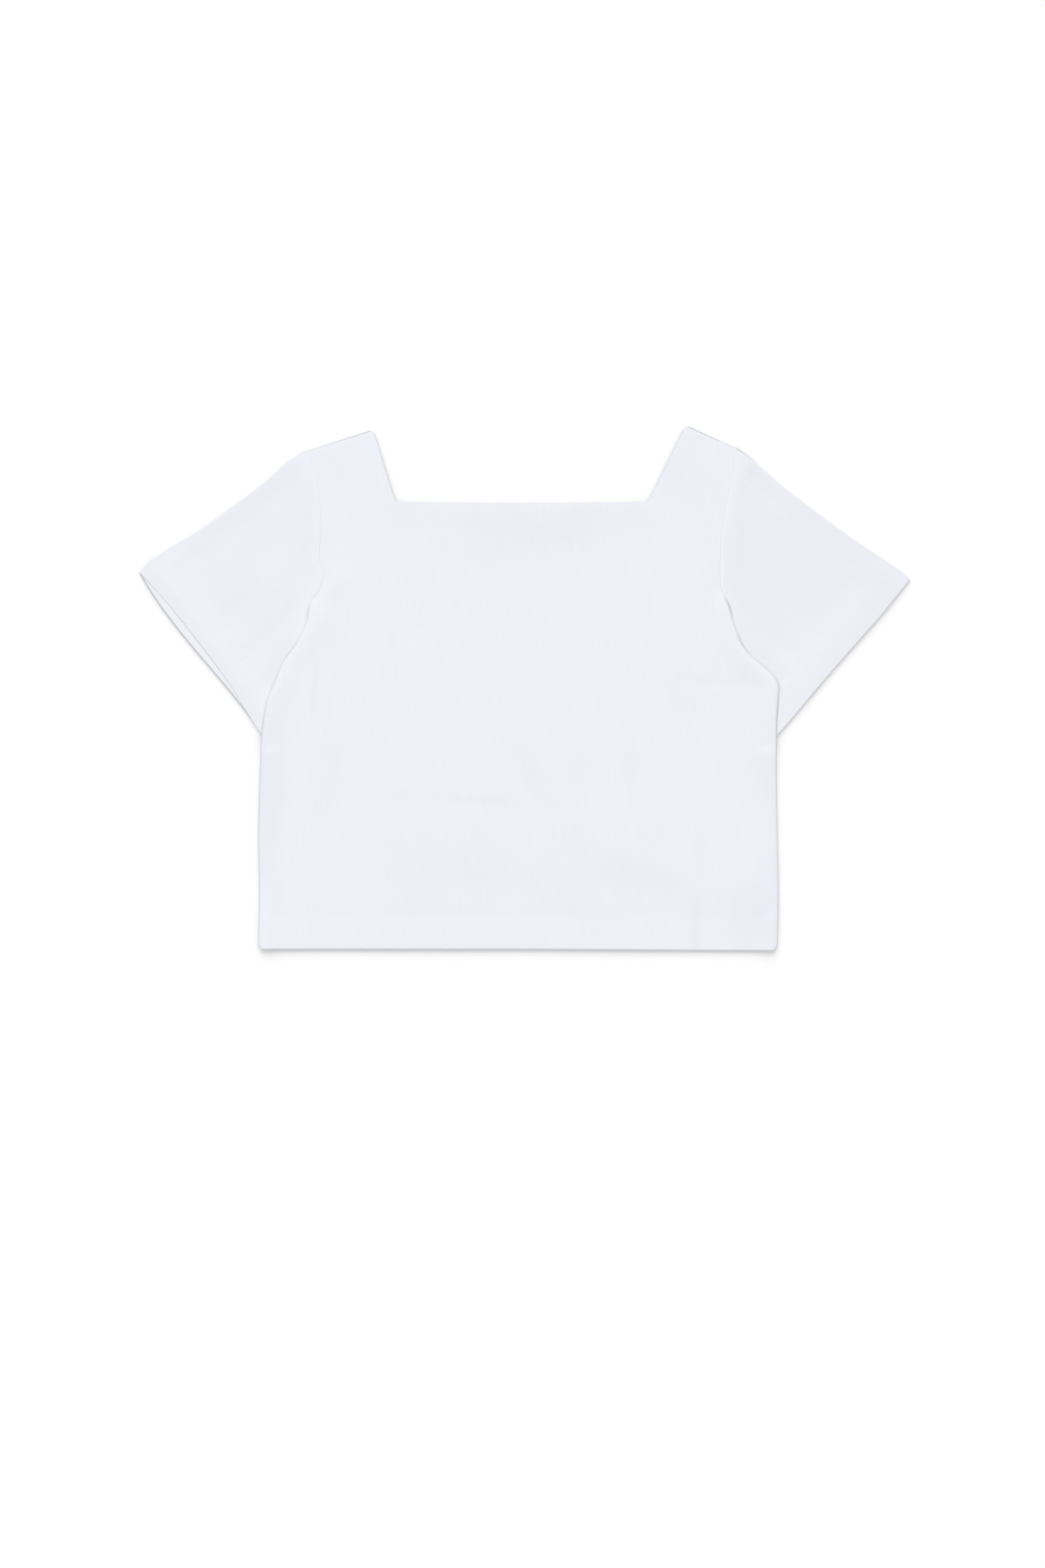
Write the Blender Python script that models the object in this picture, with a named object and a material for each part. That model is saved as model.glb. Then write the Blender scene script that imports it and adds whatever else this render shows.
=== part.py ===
"""A square neck t-shirt of cotton jersey, laid flat on its back, as its four sewn pieces.

X runs across the chest, Y from the hem to the neck and Z up from the surface that it lies on.
Sizes are in metres. Left and right are as seen from above, with the neck at the top. The sleeves
are tubes pressed flat. Their lower ends are tucked in between the front and the back, whose
armhole curves lie over and under them.
"""

import bpy
import numpy as np

# Cloth
CLOTH = 0.0011  # one layer of jersey
SEAM_GAP = 0.0003  # between two layers
BUTT_GAP = 0.00035  # between two pieces that meet edge to edge
HEM_WALL = 0.0015  # the cloth where it is turned up on itself
HEM_DEPTH = 0.0228
CUFF_DEPTH = 0.0200
HEM_STEP = 0.0020  # the width over which the cloth thickens at a hem
ROUNDING = 0.0005  # the rounding of a free edge
EDGE_KEPT = 0.4  # the part of the thickness that is left at its rim
ROLL = 0.00065  # inner radius of the rolled side edges
ROLL_TOP = (0.064, 0.080)  # heights between which the front's edge stops rolling
ROLL_REACH = (0.002, 0.017)  # in from a side edge, between these the lifted cloth comes down
RIM_SHARE = 0.245  # the part of a rolled edge's radius that is left as a flat rim

LEAST_RADIUS = 0.00001  # of an edge that doesn't roll

LEFT, RIGHT = -1, 1

# The body's edges, up the sides from the hem and then round the armholes
BODY_EDGES = np.array(
    [
        # height, left edge, right edge
        (-0.1800, -0.1830, 0.1731),
        (-0.1500, -0.1821, 0.1741),
        (-0.0900, -0.1824, 0.1731),
        (-0.0500, -0.1814, 0.1726),
        (-0.0310, -0.1809, 0.1731),
        (-0.0200, -0.1795, 0.1737),
        (-0.0080, -0.1772, 0.1748),
        (0.0040, -0.1718, 0.1742),
        (0.0120, -0.1688, 0.1676),
        (0.0210, -0.1645, 0.1568),
        (0.0310, -0.1573, 0.1497),
        (0.0450, -0.1506, 0.1440),
        (0.0580, -0.1480, 0.1405),
        (0.0660, -0.1430, 0.1359),
        (0.0750, -0.1390, 0.1348),
        (0.0900, -0.1406, 0.1349),
        (0.1050, -0.1397, 0.1354),
        (0.1250, -0.1400, 0.1388),
        (0.1430, -0.1430, 0.1424),
        (0.1570, -0.1486, 0.1446),
        (0.1650, -0.1515, 0.1457),
    ]
)
HEM_Y = BODY_EDGES[0, 0]

# Neckline and shoulders
NECK_Y = 0.1275
NECK_CORNER_X = {LEFT: -0.0871, RIGHT: 0.0829}
NECK_POINT = {LEFT: (-0.1042, 0.1767), RIGHT: (0.1112, 0.1804)}
SHOULDER_Y = {LEFT: 0.1626, RIGHT: 0.1649}
BACK_NECK_EASE = 0.0020  # the back neckline is this much deeper and wider

# Sleeves: the corners of each tube's flat outline
CUFF_TOP = {LEFT: (-0.2643, 0.0789), RIGHT: (0.2643, 0.0747)}
CUFF_FOOT = {LEFT: (-0.1767, -0.0381), RIGHT: (0.1701, -0.0357)}
UNDERARM = {LEFT: (-0.1473, -0.0381), RIGHT: (0.1395, -0.0357)}
TUCK_TOP_Y = {LEFT: 0.0560, RIGHT: 0.0630}  # below this the sleeve lies inside the body
CUFF_EDGES = np.array(
    [
        # share of the cuff from its top, then how far each edge bows out of a straight line
        # left lower layer, left upper layer, right lower layer, right upper layer
        (0.00, 0.0000, 0.0000, 0.0000, 0.0000),
        (0.10, 0.0013, -0.0016, 0.0002, 0.0006),
        (0.20, 0.0018, -0.0027, 0.0006, 0.0012),
        (0.40, 0.0014, -0.0036, 0.0002, 0.0006),
        (0.60, 0.0000, -0.0045, -0.0004, 0.0000),
        (0.72, -0.0010, -0.0030, -0.0002, 0.0002),
        (0.82, -0.0012, -0.0014, 0.0000, 0.0004),
        (1.00, 0.0000, 0.0000, 0.0000, 0.0000),
    ]
)
CUFF_COLUMN = {(LEFT, "lower"): 1, (LEFT, "upper"): 2, (RIGHT, "lower"): 3, (RIGHT, "upper"): 4}
TOP_BOW = np.array(
    [
        # share of the way from shoulder to cuff, then how far the fold rises off a straight line
        # left sleeve, right sleeve
        (0.00, 0.0000, 0.0000),
        (0.09, 0.0021, 0.0002),
        (0.25, 0.0000, -0.0020),
        (0.45, -0.0004, -0.0018),
        (0.70, 0.0000, -0.0012),
        (0.89, 0.0030, 0.0002),
        (1.00, 0.0000, 0.0000),
    ]
)
SLEEVE_FOLD_LOFT = 0.0009  # how far the layers stand apart at the top fold
UNDERARM_LOFT = 0.0003
FOLD_REACH = 0.014  # how far from a fold its loft carries
OPENING_EASE = 0.15  # share of the way to the cuff over which the top fold opens
SLEEVE_BELLY = 0.0009  # the sleeve's own loft in its middle

# The tuck under each arm
TUCK_MARGIN = 0.002  # the front is clear of the sleeve this far beside it
TUCK_RAMP = 0.008  # width over which the front then comes down
BACK_MARGIN = 0.009  # the sleeve is clear of the back this far beside it
BACK_RAMP = 0.012  # width over which the sleeve then comes down
TUCK_FADE = (0.068, 0.092)  # heights between which the layers part
TUCK_SPARE = 0.0004  # loft between the sleeve and the front on it
SIDE_SEAM_TOP = (-0.052, -0.040)  # heights between which the side seam closes

# The largest folds of the front: two ends, depth below the cloth round it, and half width
FRONT_LOFT = 0.0010
LOFT_EASE = 0.030
FRONT_FOLDS = np.array(
    [
        # x1, y1, x2, y2, depth, half width
        (-0.0075, -0.0450, 0.0075, -0.0960, 0.0006, 0.012),
        (0.0225, -0.1170, 0.1095, -0.1470, 0.0005, 0.018),
        (-0.1035, -0.0770, 0.0225, -0.0830, 0.0005, 0.008),
        (0.0723, -0.0470, 0.0723, -0.0750, 0.0005, 0.009),
        (-0.0375, 0.1030, 0.0585, 0.1030, 0.0004, 0.011),
        (0.1575, -0.1470, 0.1575, -0.1790, 0.0005, 0.009),
        (0.1215, -0.1050, 0.1215, -0.1790, 0.0006, 0.008),
    ]
)

# Where the sections of each piece are taken: heights, and distances or shares from an edge
HEM_ROWS = (0.0, 0.0005, 0.0020, 0.0218, 0.0238)
SIDE_ROWS = (-0.143, -0.129, -0.115, -0.102, -0.089, -0.077, -0.066, -0.056, -0.050, -0.045, -0.041)
BACK_SIDE_ROWS = (-0.120, -0.080, -0.060, -0.052, -0.048, -0.044, -0.040)
TUCK_ROWS = (-0.033, -0.025, -0.016, -0.008, -0.001, 0.005, 0.010, 0.016, 0.023, 0.031, 0.039, 0.047)
SEAM_ROWS = (0.054, 0.060, 0.065, 0.070, 0.076, 0.085, 0.097, 0.111, 0.121)
NECK_ROWS = (0.1255, 0.1270, 0.1275)
STRAP_ROWS = (0.18, 0.36, 0.55, 0.73, 0.88, 0.97, 0.99, 1.0)
ROLL_COLUMNS = (0.0, 0.00035, 0.0011, 0.00175)
NECK_COLUMNS = (0.0020, 0.0005, 0.0)
FRONT_COLUMNS = (0.04, 0.11, 0.20, 0.29, 0.345, 0.38, 0.415, 0.46, 0.66)
FRONT_MIDDLE = 8
BACK_COLUMNS = (0.06, 0.30, 0.65)
BACK_MIDDLE = 5
TUCK_STATIONS = (-0.027, -0.016, -0.004, 0.008, 0.020, 0.032, 0.044)
SLEEVE_ROWS = 6
ARMHOLE_ROWS = (0.0, 0.0004, 0.0020)
CUFF_ROWS = (CUFF_DEPTH + HEM_STEP / 2, CUFF_DEPTH - HEM_STEP / 2, 0.0020, 0.0005, 0.0)
FOLD_ANGLES = np.radians((0, 45, 90, 135, 180))

JERSEY_WHITE = (0.86, 0.88, 0.93, 1.0)
JERSEY_ROUGHNESS = 0.9


def step(share):
    """0 below 0 and 1 above 1, easing between them as 3t^2 - 2t^3."""
    eased = np.clip(share, 0, 1)
    return eased * eased * (3 - 2 * eased)


def smooth_through(x, known_x, known_y):
    """A cubic through the known points, as steep at each as the line between its neighbours."""
    slopes = np.gradient(known_y, known_x)
    i = np.clip(np.searchsorted(known_x, x) - 1, 0, len(known_x) - 2)
    width = known_x[i + 1] - known_x[i]
    t = (x - known_x[i]) / width
    start = (1 + 2 * t) * (1 - t) ** 2 * known_y[i] + t * (1 - t) ** 2 * width * slopes[i]
    end = t * t * (3 - 2 * t) * known_y[i + 1] - t * t * (1 - t) * width * slopes[i + 1]
    return start + end


def edge_x(side, y):
    """Where the body's left or right edge is at these heights."""
    column = 1 if side == LEFT else 2
    return smooth_through(np.asarray(y, float), BODY_EDGES[:, 0], BODY_EDGES[:, column])


def sleeve_end_x(side, y):
    """The sleeve's inner end: along the seam and, below the top of the tuck, inside the body."""
    top, foot = TUCK_TOP_Y[side], UNDERARM[side]
    seam = edge_x(side, y) + side * BUTT_GAP
    turn = edge_x(side, top) + side * BUTT_GAP
    hidden = turn + (foot[0] - turn) * (top - y) / (top - foot[1])
    return np.where(y > top, seam, hidden)


def distance_to(line, x, y):
    """Distance from each point to the nearest stretch of a line of points."""
    start, run = line[:-1], np.diff(line, axis=0)
    dx, dy = x[..., None] - start[:, 0], y[..., None] - start[:, 1]
    along = np.clip((dx * run[:, 0] + dy * run[:, 1]) / (run**2).sum(axis=1), 0, 1)
    return np.hypot(dx - along * run[:, 0], dy - along * run[:, 1]).min(axis=-1)


def side_line(side):
    heights = np.linspace(HEM_Y, SHOULDER_Y[side], 120)
    return np.column_stack([edge_x(side, heights), heights])


def from_sides(x, y):
    """Distance from the nearer of the body's two edges."""
    return np.minimum(distance_to(side_line(LEFT), x, y), distance_to(side_line(RIGHT), x, y))


def shoulder_line(side, ease):
    tip = (NECK_POINT[side][0] + side * ease, NECK_POINT[side][1])
    return np.array([(edge_x(side, SHOULDER_Y[side]), SHOULDER_Y[side]), tip])


def neck_line(ease):
    return np.array(
        [
            shoulder_line(LEFT, ease)[1],
            (NECK_CORNER_X[LEFT] - ease, NECK_Y - ease),
            (NECK_CORNER_X[RIGHT] + ease, NECK_Y - ease),
            shoulder_line(RIGHT, ease)[1],
        ]
    )


def hem_line():
    return np.array([(edge_x(LEFT, HEM_Y), HEM_Y), (edge_x(RIGHT, HEM_Y), HEM_Y)])


def sleeve_inner_line(side):
    """Down the sleeve's inner end and out along its underarm seam to the cuff."""
    heights = np.linspace(SHOULDER_Y[side], UNDERARM[side][1], 80)
    end = np.column_stack([sleeve_end_x(side, heights), heights])
    return np.vstack([end, CUFF_FOOT[side]])


def cuff_distance(side, x, y):
    """Distance in from the straight line through the cuff's two corners."""
    top, foot = np.array(CUFF_TOP[side]), np.array(CUFF_FOOT[side])
    along = (foot - top) / np.hypot(*(foot - top))
    return side * ((x - top[0]) * along[1] - (y - top[1]) * along[0])


def body_wall(y):
    """Thickness of the body's cloth, which grows in the turned hem."""
    return CLOTH + (HEM_WALL - CLOTH) * step((HEM_Y + HEM_DEPTH - y) / HEM_STEP + 0.5)


def cuff_wall(side, x, y):
    """Thickness of a sleeve's cloth, which grows in the turned cuff."""
    return CLOTH + (HEM_WALL - CLOTH) * step((CUFF_DEPTH - cuff_distance(side, x, y)) / HEM_STEP + 0.5)


def tucked(y):
    """1 where the layers lie over each other under the arm, 0 where they meet edge to edge."""
    return step((TUCK_FADE[1] - y) / (TUCK_FADE[1] - TUCK_FADE[0]))


def over_back(side, x, y):
    """1 where the sleeve lies on the back, easing to 0 beside it."""
    inside = distance_to(side_line(side), x, y) * np.sign(side * (edge_x(side, y) - x))
    return step(1 + (inside + BACK_MARGIN) / BACK_RAMP) * tucked(y)


def over_sleeve(side, x, y):
    """1 where the front lies on the sleeve, easing to 0 beside it."""
    within = (side * (x - sleeve_end_x(side, y)) > 0) & (y > UNDERARM[side][1])
    reach = distance_to(sleeve_inner_line(side), x, y)
    return step(1 + (np.where(within, reach, -reach) + TUCK_MARGIN) / TUCK_RAMP) * tucked(y)


def outer_drop(distance, radius):
    """How far the outer face of a rolled edge falls, as a quarter circle that ends in a flat rim."""
    inward = np.clip(1 - distance / radius, 0, 1)
    return radius * (1 - np.sqrt(1 - (1 - RIM_SHARE**2) * inward**2))


def inner_drop(distance, radius, inner_radius):
    """How far the inner face of the same edge falls, on the same centre."""
    inward = np.clip(radius - distance, 0, inner_radius)
    return inner_radius - np.sqrt(inner_radius**2 - inward**2)


def edge_share(distance):
    """The part of its thickness that cloth keeps this far from a free edge: an ellipse."""
    inward = np.clip(1 - distance / ROUNDING, 0, 1)
    return np.sqrt(1 - (1 - EDGE_KEPT**2) * inward**2)


def fold_depth(x, y):
    """Each fold is a soft trough along its line, a bell curve across it."""
    depth = np.zeros_like(x)
    for x1, y1, x2, y2, deep, half_width in FRONT_FOLDS:
        away = distance_to(np.array([(x1, y1), (x2, y2)]), x, y)
        depth += deep * np.exp(-((away / half_width) ** 2))
    return depth


def front_underside(x, y):
    """Height of the front's lower face, before its edges roll."""
    height = body_wall(y) + SEAM_GAP
    from_side = from_sides(x, y)
    away = np.minimum(from_side, distance_to(neck_line(0), x, y))
    covering = np.where(x < 0, over_sleeve(LEFT, x, y), over_sleeve(RIGHT, x, y))
    cuff = np.where(x < 0, cuff_wall(LEFT, x, y), cuff_wall(RIGHT, x, y))
    tuck = covering * (2 * cuff + 2 * SEAM_GAP + TUCK_SPARE)
    loft = (FRONT_LOFT - fold_depth(x, y)) * step(away / LOFT_EASE) * (1 - covering)
    near, far = ROLL_REACH
    edge = (front_roll(y) + back_roll(y)) * (1 - step((from_side - near) / (far - near)))
    return height + tuck + np.maximum(loft, 0) + edge


def front_roll(y):
    """Inner radius of the front's rolled edge: none where it is sewn edge to edge to the sleeve."""
    return ROLL * step((ROLL_TOP[1] - y) / (ROLL_TOP[1] - ROLL_TOP[0]))


def back_roll(y):
    """The same for the back, which rolls up only along the side seam."""
    return ROLL * step((SIDE_SEAM_TOP[1] - y) / (SIDE_SEAM_TOP[1] - SIDE_SEAM_TOP[0]))


def upright(height_at, x, y):
    """How much taller a wall is than thick where it slopes."""
    reach = ROUNDING
    slope_x = (height_at(x + reach, y) - height_at(x - reach, y)) / (2 * reach)
    slope_y = (height_at(x, y + reach) - height_at(x, y - reach)) / (2 * reach)
    return np.sqrt(1 + slope_x**2 + slope_y**2)


def between(start, end, shares):
    """Points at these shares of the way, for each pair of start and end."""
    return start[:, None] + (end - start)[:, None] * np.asarray(shares)[None, :, None]


def band(outer, inner, side, columns):
    """Rows of points from the body's edge to the neck column, closer together at both ends."""
    span = np.hypot(*(inner - outer).T)
    slant = np.hypot(1, np.gradient(outer[:, 0], outer[:, 1]))
    rolled = np.asarray(ROLL_COLUMNS)[None] * slant[:, None] / span[:, None]
    last = 1 - np.asarray(NECK_COLUMNS)[None] / span[:, None]
    first = rolled[:, -1:]
    spread = first + (last[:, :1] - first) * np.asarray(columns)[None]
    shares = np.hstack([rolled, spread, last])
    points = outer[:, None] + (inner - outer)[:, None] * shares[..., None]
    return points if side == LEFT else points[:, ::-1]


def panel_plan(ease, columns, middle, body_rows):
    """Rows of points over a panel, with no points in the neckline's notch."""
    neck_rows = np.asarray(NECK_ROWS) - ease
    hem_rows = HEM_Y + np.asarray(HEM_ROWS)
    heights = np.concatenate([hem_rows, body_rows, SEAM_ROWS, neck_rows])
    straps = np.asarray(STRAP_ROWS)
    bands = []
    for side in (LEFT, RIGHT):
        tip, corner = shoulder_line(side, ease)[1], neck_line(ease)[1 if side == LEFT else 2]
        outer_y = np.concatenate([heights, NECK_Y + (SHOULDER_Y[side] - NECK_Y) * straps])
        outer = np.column_stack([edge_x(side, outer_y), outer_y])
        below = np.column_stack([np.full(len(heights), corner[0]), heights])
        inner = np.vstack([below, corner + (tip - corner) * straps[:, None]])
        bands.append(band(outer, inner, side, columns))
    ends = np.asarray(NECK_COLUMNS[1::-1]) / (bands[1][0, 0, 0] - bands[0][0, -1, 0])
    inside = np.linspace(ends[1], 1 - ends[1], middle)[1:-1]
    shares = np.concatenate([ends, inside, 1 - ends[::-1]])
    centre = between(bands[0][:, -1], bands[1][:, 0], shares)
    centre[len(heights) :] = np.nan
    return np.concatenate([bands[0], centre, bands[1]], axis=1)


def grid_cells(rows, columns, closed):
    """The four corners of each cell of a grid, which is closed round into a ring or is not."""
    across = columns if closed else columns - 1
    i, j = np.meshgrid(np.arange(rows - 1), np.arange(across), indexing="ij")
    right = (j + 1) % columns
    corners = [i * columns + j, i * columns + right, (i + 1) * columns + right, (i + 1) * columns + j]
    return np.stack(corners, axis=-1).reshape(-1, 4)


def panel(ease, columns, middle, body_rows, faces_at):
    """The outer and inner points of a panel and its cells, from a function for its two heights."""
    plan = panel_plan(ease, columns, middle, body_rows)
    cells = grid_cells(plan.shape[0], plan.shape[1], False)
    plan = plan.reshape(-1, 2)
    kept = np.isfinite(plan[:, 0])
    cells = (np.cumsum(kept) - 1)[cells[kept[cells].all(axis=1)]]
    x, y = plan[kept].T
    top, bottom = faces_at(x, y)
    middle_height, half = (top + bottom) / 2, (top - bottom) / 2
    seam = from_sides(x, y)
    free = np.minimum(distance_to(neck_line(ease), x, y), distance_to(hem_line(), x, y))
    butt = 1 - front_roll(y) / ROLL
    half = half * edge_share(free) * (1 - butt * (1 - edge_share(seam)))
    upper = np.column_stack([x, y, middle_height + half])
    lower = np.column_stack([x, y, middle_height - half])
    return upper, lower, cells


def front_faces(x, y):
    """The front's upper and lower face. It rolls down at the sides and the shoulders."""
    base = front_underside(x, y)
    wall = body_wall(y) * upright(front_underside, x, y)
    roll = front_roll(y)
    radius = np.maximum((body_wall(y) + ROLL) * roll / ROLL, LEAST_RADIUS)
    seam = from_sides(x, y)
    left, right = shoulder_line(LEFT, 0), shoulder_line(RIGHT, 0)
    shoulder = np.minimum(distance_to(left, x, y), distance_to(right, x, y))
    curl = np.maximum(radius - body_wall(y), 0)
    drop = np.maximum(outer_drop(seam, radius), outer_drop(shoulder, CLOTH))
    return base + wall - drop, base - inner_drop(seam, radius, curl)


def back_faces(x, y):
    """The back's upper and lower face. It lies flat and rolls up at the side seams."""
    wall, roll = body_wall(y), back_roll(y)
    radius = wall + roll
    seam = from_sides(x, y)
    left, right = shoulder_line(LEFT, BACK_NECK_EASE), shoulder_line(RIGHT, BACK_NECK_EASE)
    shoulder = np.minimum(distance_to(left, x, y), distance_to(right, x, y))
    rise = np.maximum(outer_drop(seam, radius), outer_drop(shoulder, CLOTH))
    return wall + inner_drop(seam, radius, roll), rise


def sleeve_plan(side, layer, a, b):
    """A ruled surface: b runs down the armhole and the cuff, a from the armhole to the cuff."""
    shoulder, foot = SHOULDER_Y[side], UNDERARM[side][1]
    armhole_y = shoulder + (foot - shoulder) * b
    armhole = np.stack([sleeve_end_x(side, armhole_y), armhole_y], axis=-1)
    top, low = np.array(CUFF_TOP[side]), np.array(CUFF_FOOT[side])
    outward = np.array([side * (top - low)[1], side * (low - top)[0]]) / np.hypot(*(top - low))
    bow = np.interp(b, CUFF_EDGES[:, 0], CUFF_EDGES[:, CUFF_COLUMN[side, layer]])
    cuff = top + (low - top) * b[..., None] + outward * bow[..., None]
    rise = np.interp(a, TOP_BOW[:, 0], TOP_BOW[:, 1 if side == LEFT else 2]) * (1 - b) ** 2
    return armhole + (cuff - armhole) * a[..., None] + np.stack([0 * rise, rise], axis=-1)


def sleeve_stations(side):
    """How far down the armhole each straight station lies, at the heights of the body's rows."""
    shoulder, foot = SHOULDER_Y[side], UNDERARM[side][1]
    strap = NECK_Y + (shoulder - NECK_Y) * np.asarray(STRAP_ROWS[:-3])
    heights = np.concatenate([strap[::-1], [NECK_Y], SEAM_ROWS[::-1], TUCK_STATIONS[::-1]])
    return (shoulder - heights) / (shoulder - foot)


def sleeve_ring(side):
    """Once round the tube: each point's share down the armhole, its turn and its fold.

    The turn is 0 on the upper layer and half a circle on the lower one. The fold is 1 along the
    top, -1 under the arm and 0 between them.
    """
    down = sleeve_stations(side)
    flat, folds = np.zeros(len(down)), np.ones(len(FOLD_ANGLES))
    share = np.concatenate([[0], down, folds, down[::-1], 0 * folds[1:]])
    turn = np.concatenate([[0], flat, FOLD_ANGLES, flat + np.pi, FOLD_ANGLES[:0:-1]])
    fold = np.concatenate([[1], flat, -folds, flat, folds[1:]])
    return share, turn, fold


def sleeve_rows(side, share):
    """How far along its ruling each row lies, and how long each ruling is."""
    armhole = sleeve_plan(side, "lower", 0 * share, share)
    cuff = sleeve_plan(side, "lower", 0 * share + 1, share)
    length = np.hypot(*(cuff - armhole).T)
    slant = length / cuff_distance(side, *armhole.T)
    start = np.array(ARMHOLE_ROWS)[:, None] + 0 * length
    end = length - slant * np.array(CUFF_ROWS)[:, None]
    inside = start[-1] + (end[0] - start[-1]) * np.linspace(0, 1, SLEEVE_ROWS)[1:-1, None]
    return np.vstack([start, inside, end]), length


def sleeve_width(side, a):
    """From the top fold to the underarm seam, at this share of the way to the cuff."""
    ends = np.array([0.0, 1.0])
    run = sleeve_plan(side, "lower", ends, 0 * ends + 1) - sleeve_plan(side, "lower", ends, 0 * ends)
    width = np.hypot(*run.T)
    return width[0] + (width[1] - width[0]) * a


def sleeve_face(side, is_outer, a, ring):
    """The tube's outer or inner face: two flat layers joined by a half circle at each fold.

    The upper layer bellies up by a product of parabolas, highest in the sleeve's middle.
    """
    share, turn, fold = ring
    width = sleeve_width(side, a)
    is_upper = turn <= np.pi / 2
    top_loft = step(a / OPENING_EASE) * SLEEVE_FOLD_LOFT
    b = share + 0 * a
    # The cloth's thickness follows from the place and the place from the thickness: twice is enough
    for _ in range(2):
        lower, upper = sleeve_plan(side, "lower", a, b), sleeve_plan(side, "upper", a, b)
        place = np.where(is_upper[:, None], upper, lower)
        x, y = place[..., 0], place[..., 1]
        wall = cuff_wall(side, x, y)
        radius = wall + (SEAM_GAP + np.where(fold > 0, top_loft, UNDERARM_LOFT)) / 2
        curve = radius if is_outer else radius - wall
        inset = (radius - curve * np.sin(turn)) / width
        b = np.where(fold > 0, inset, np.where(fold < 0, 1 - inset, share))
    over = over_back(side, x, y)
    loft = top_loft * (1 - step(b * width / FOLD_REACH))
    loft += UNDERARM_LOFT * (1 - step((1 - b) * width / FOLD_REACH))
    belly = SLEEVE_BELLY * (4 * a * (1 - a)) * (4 * b * (1 - b)) * (1 - over)
    low, high = (0, 0) if is_outer else (wall, -wall)
    layers = np.where(is_upper, 2 * wall + SEAM_GAP + loft + belly + high, low)
    folded = radius + curve * np.cos(turn)
    z = (CLOTH + SEAM_GAP) * over + np.where(fold == 0, layers, folded)
    return np.stack([x, y, z], axis=-1)


def sleeve(side):
    """A flattened ring carried from the armhole to the cuff, thinner at its two open ends."""
    ring = sleeve_ring(side)
    along, length = sleeve_rows(side, ring[0])
    outer, inner = (sleeve_face(side, is_outer, along / length, ring) for is_outer in (True, False))
    middle, half = (outer + inner) / 2, (outer - inner) / 2
    half = half * edge_share(np.minimum(along, length - along))[..., None]
    cells = grid_cells(*along.shape, True)
    return (middle + half).reshape(-1, 3), (middle - half).reshape(-1, 3), cells


def wall_faces(cells, count):
    """The faces of a wall: the outer cells, the inner ones turned over, and a rim at each open edge."""
    edges = np.concatenate([cells[:, [k, (k + 1) % 4]] for k in range(4)])
    codes = edges[:, 0] * count + edges[:, 1]
    rim = edges[~np.isin(codes, edges[:, 1] * count + edges[:, 0])]
    rims = np.column_stack([rim[:, 0] + count, rim[:, 1] + count, rim[:, 1], rim[:, 0]])
    return np.vstack([cells, cells[:, ::-1] + count, rims])


def signed_volume(points, faces):
    a, b, c, d = (points[faces[:, k]] for k in range(4))
    return (np.einsum("ij,ij->i", a, np.cross(b, c)) + np.einsum("ij,ij->i", a, np.cross(c, d))).sum()


def jersey(name):
    """White cotton jersey: matt, cool white."""
    material = bpy.data.materials.new(name)
    material.use_nodes = True
    shader = material.node_tree.nodes["Principled BSDF"]
    shader.inputs["Base Color"].default_value = JERSEY_WHITE
    shader.inputs["Roughness"].default_value = JERSEY_ROUGHNESS
    shader.inputs["Metallic"].default_value = 0.0
    material.diffuse_color = JERSEY_WHITE
    return material


def make_piece(name, outer, inner, cells, centre):
    """One closed wall, set down with the middle of the whole t-shirt at the origin."""
    points = np.vstack([outer, inner]) - centre
    faces = wall_faces(cells, len(outer))
    if signed_volume(points, faces) < 0:
        faces = faces[:, ::-1]
    mesh = bpy.data.meshes.new(name)
    mesh.from_pydata(points.tolist(), [], faces.tolist())
    mesh.shade_smooth()
    mesh.set_sharp_from_angle(angle=np.radians(50))
    mesh.materials.append(jersey(name + "_jersey"))
    piece = bpy.data.objects.new(name, mesh)
    bpy.context.scene.collection.objects.link(piece)
    return piece


def clear_scene():
    for thing in list(bpy.data.objects):
        bpy.data.objects.remove(thing, do_unlink=True)


def build():
    clear_scene()
    back_rows = BACK_SIDE_ROWS + TUCK_ROWS[::2]
    pieces = {
        "back_panel": panel(BACK_NECK_EASE, BACK_COLUMNS, BACK_MIDDLE, back_rows, back_faces),
        "front_panel": panel(0, FRONT_COLUMNS, FRONT_MIDDLE, SIDE_ROWS + TUCK_ROWS, front_faces),
        "left_sleeve": sleeve(LEFT),
        "right_sleeve": sleeve(RIGHT),
    }
    everything = np.vstack([np.vstack(piece[:2]) for piece in pieces.values()])
    centre = (everything.min(axis=0) + everything.max(axis=0)) / 2
    centre[2] = everything[:, 2].min()
    for name, (outer, inner, cells) in pieces.items():
        make_piece(name, outer, inner, cells, centre)


build()
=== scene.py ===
"""The looks of a white square neck t-shirt of cotton jersey, laid flat on a pale floor.

Each cut piece is a thin shell on a fine grid. Sizes are in metres, or in millimetres where a table's
units say MM, in the model's own frame: X runs across the chest, Y from the hem to the neck and Z up.
Left and right are as seen from above, with the neck at the top.
"""

import math

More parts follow.
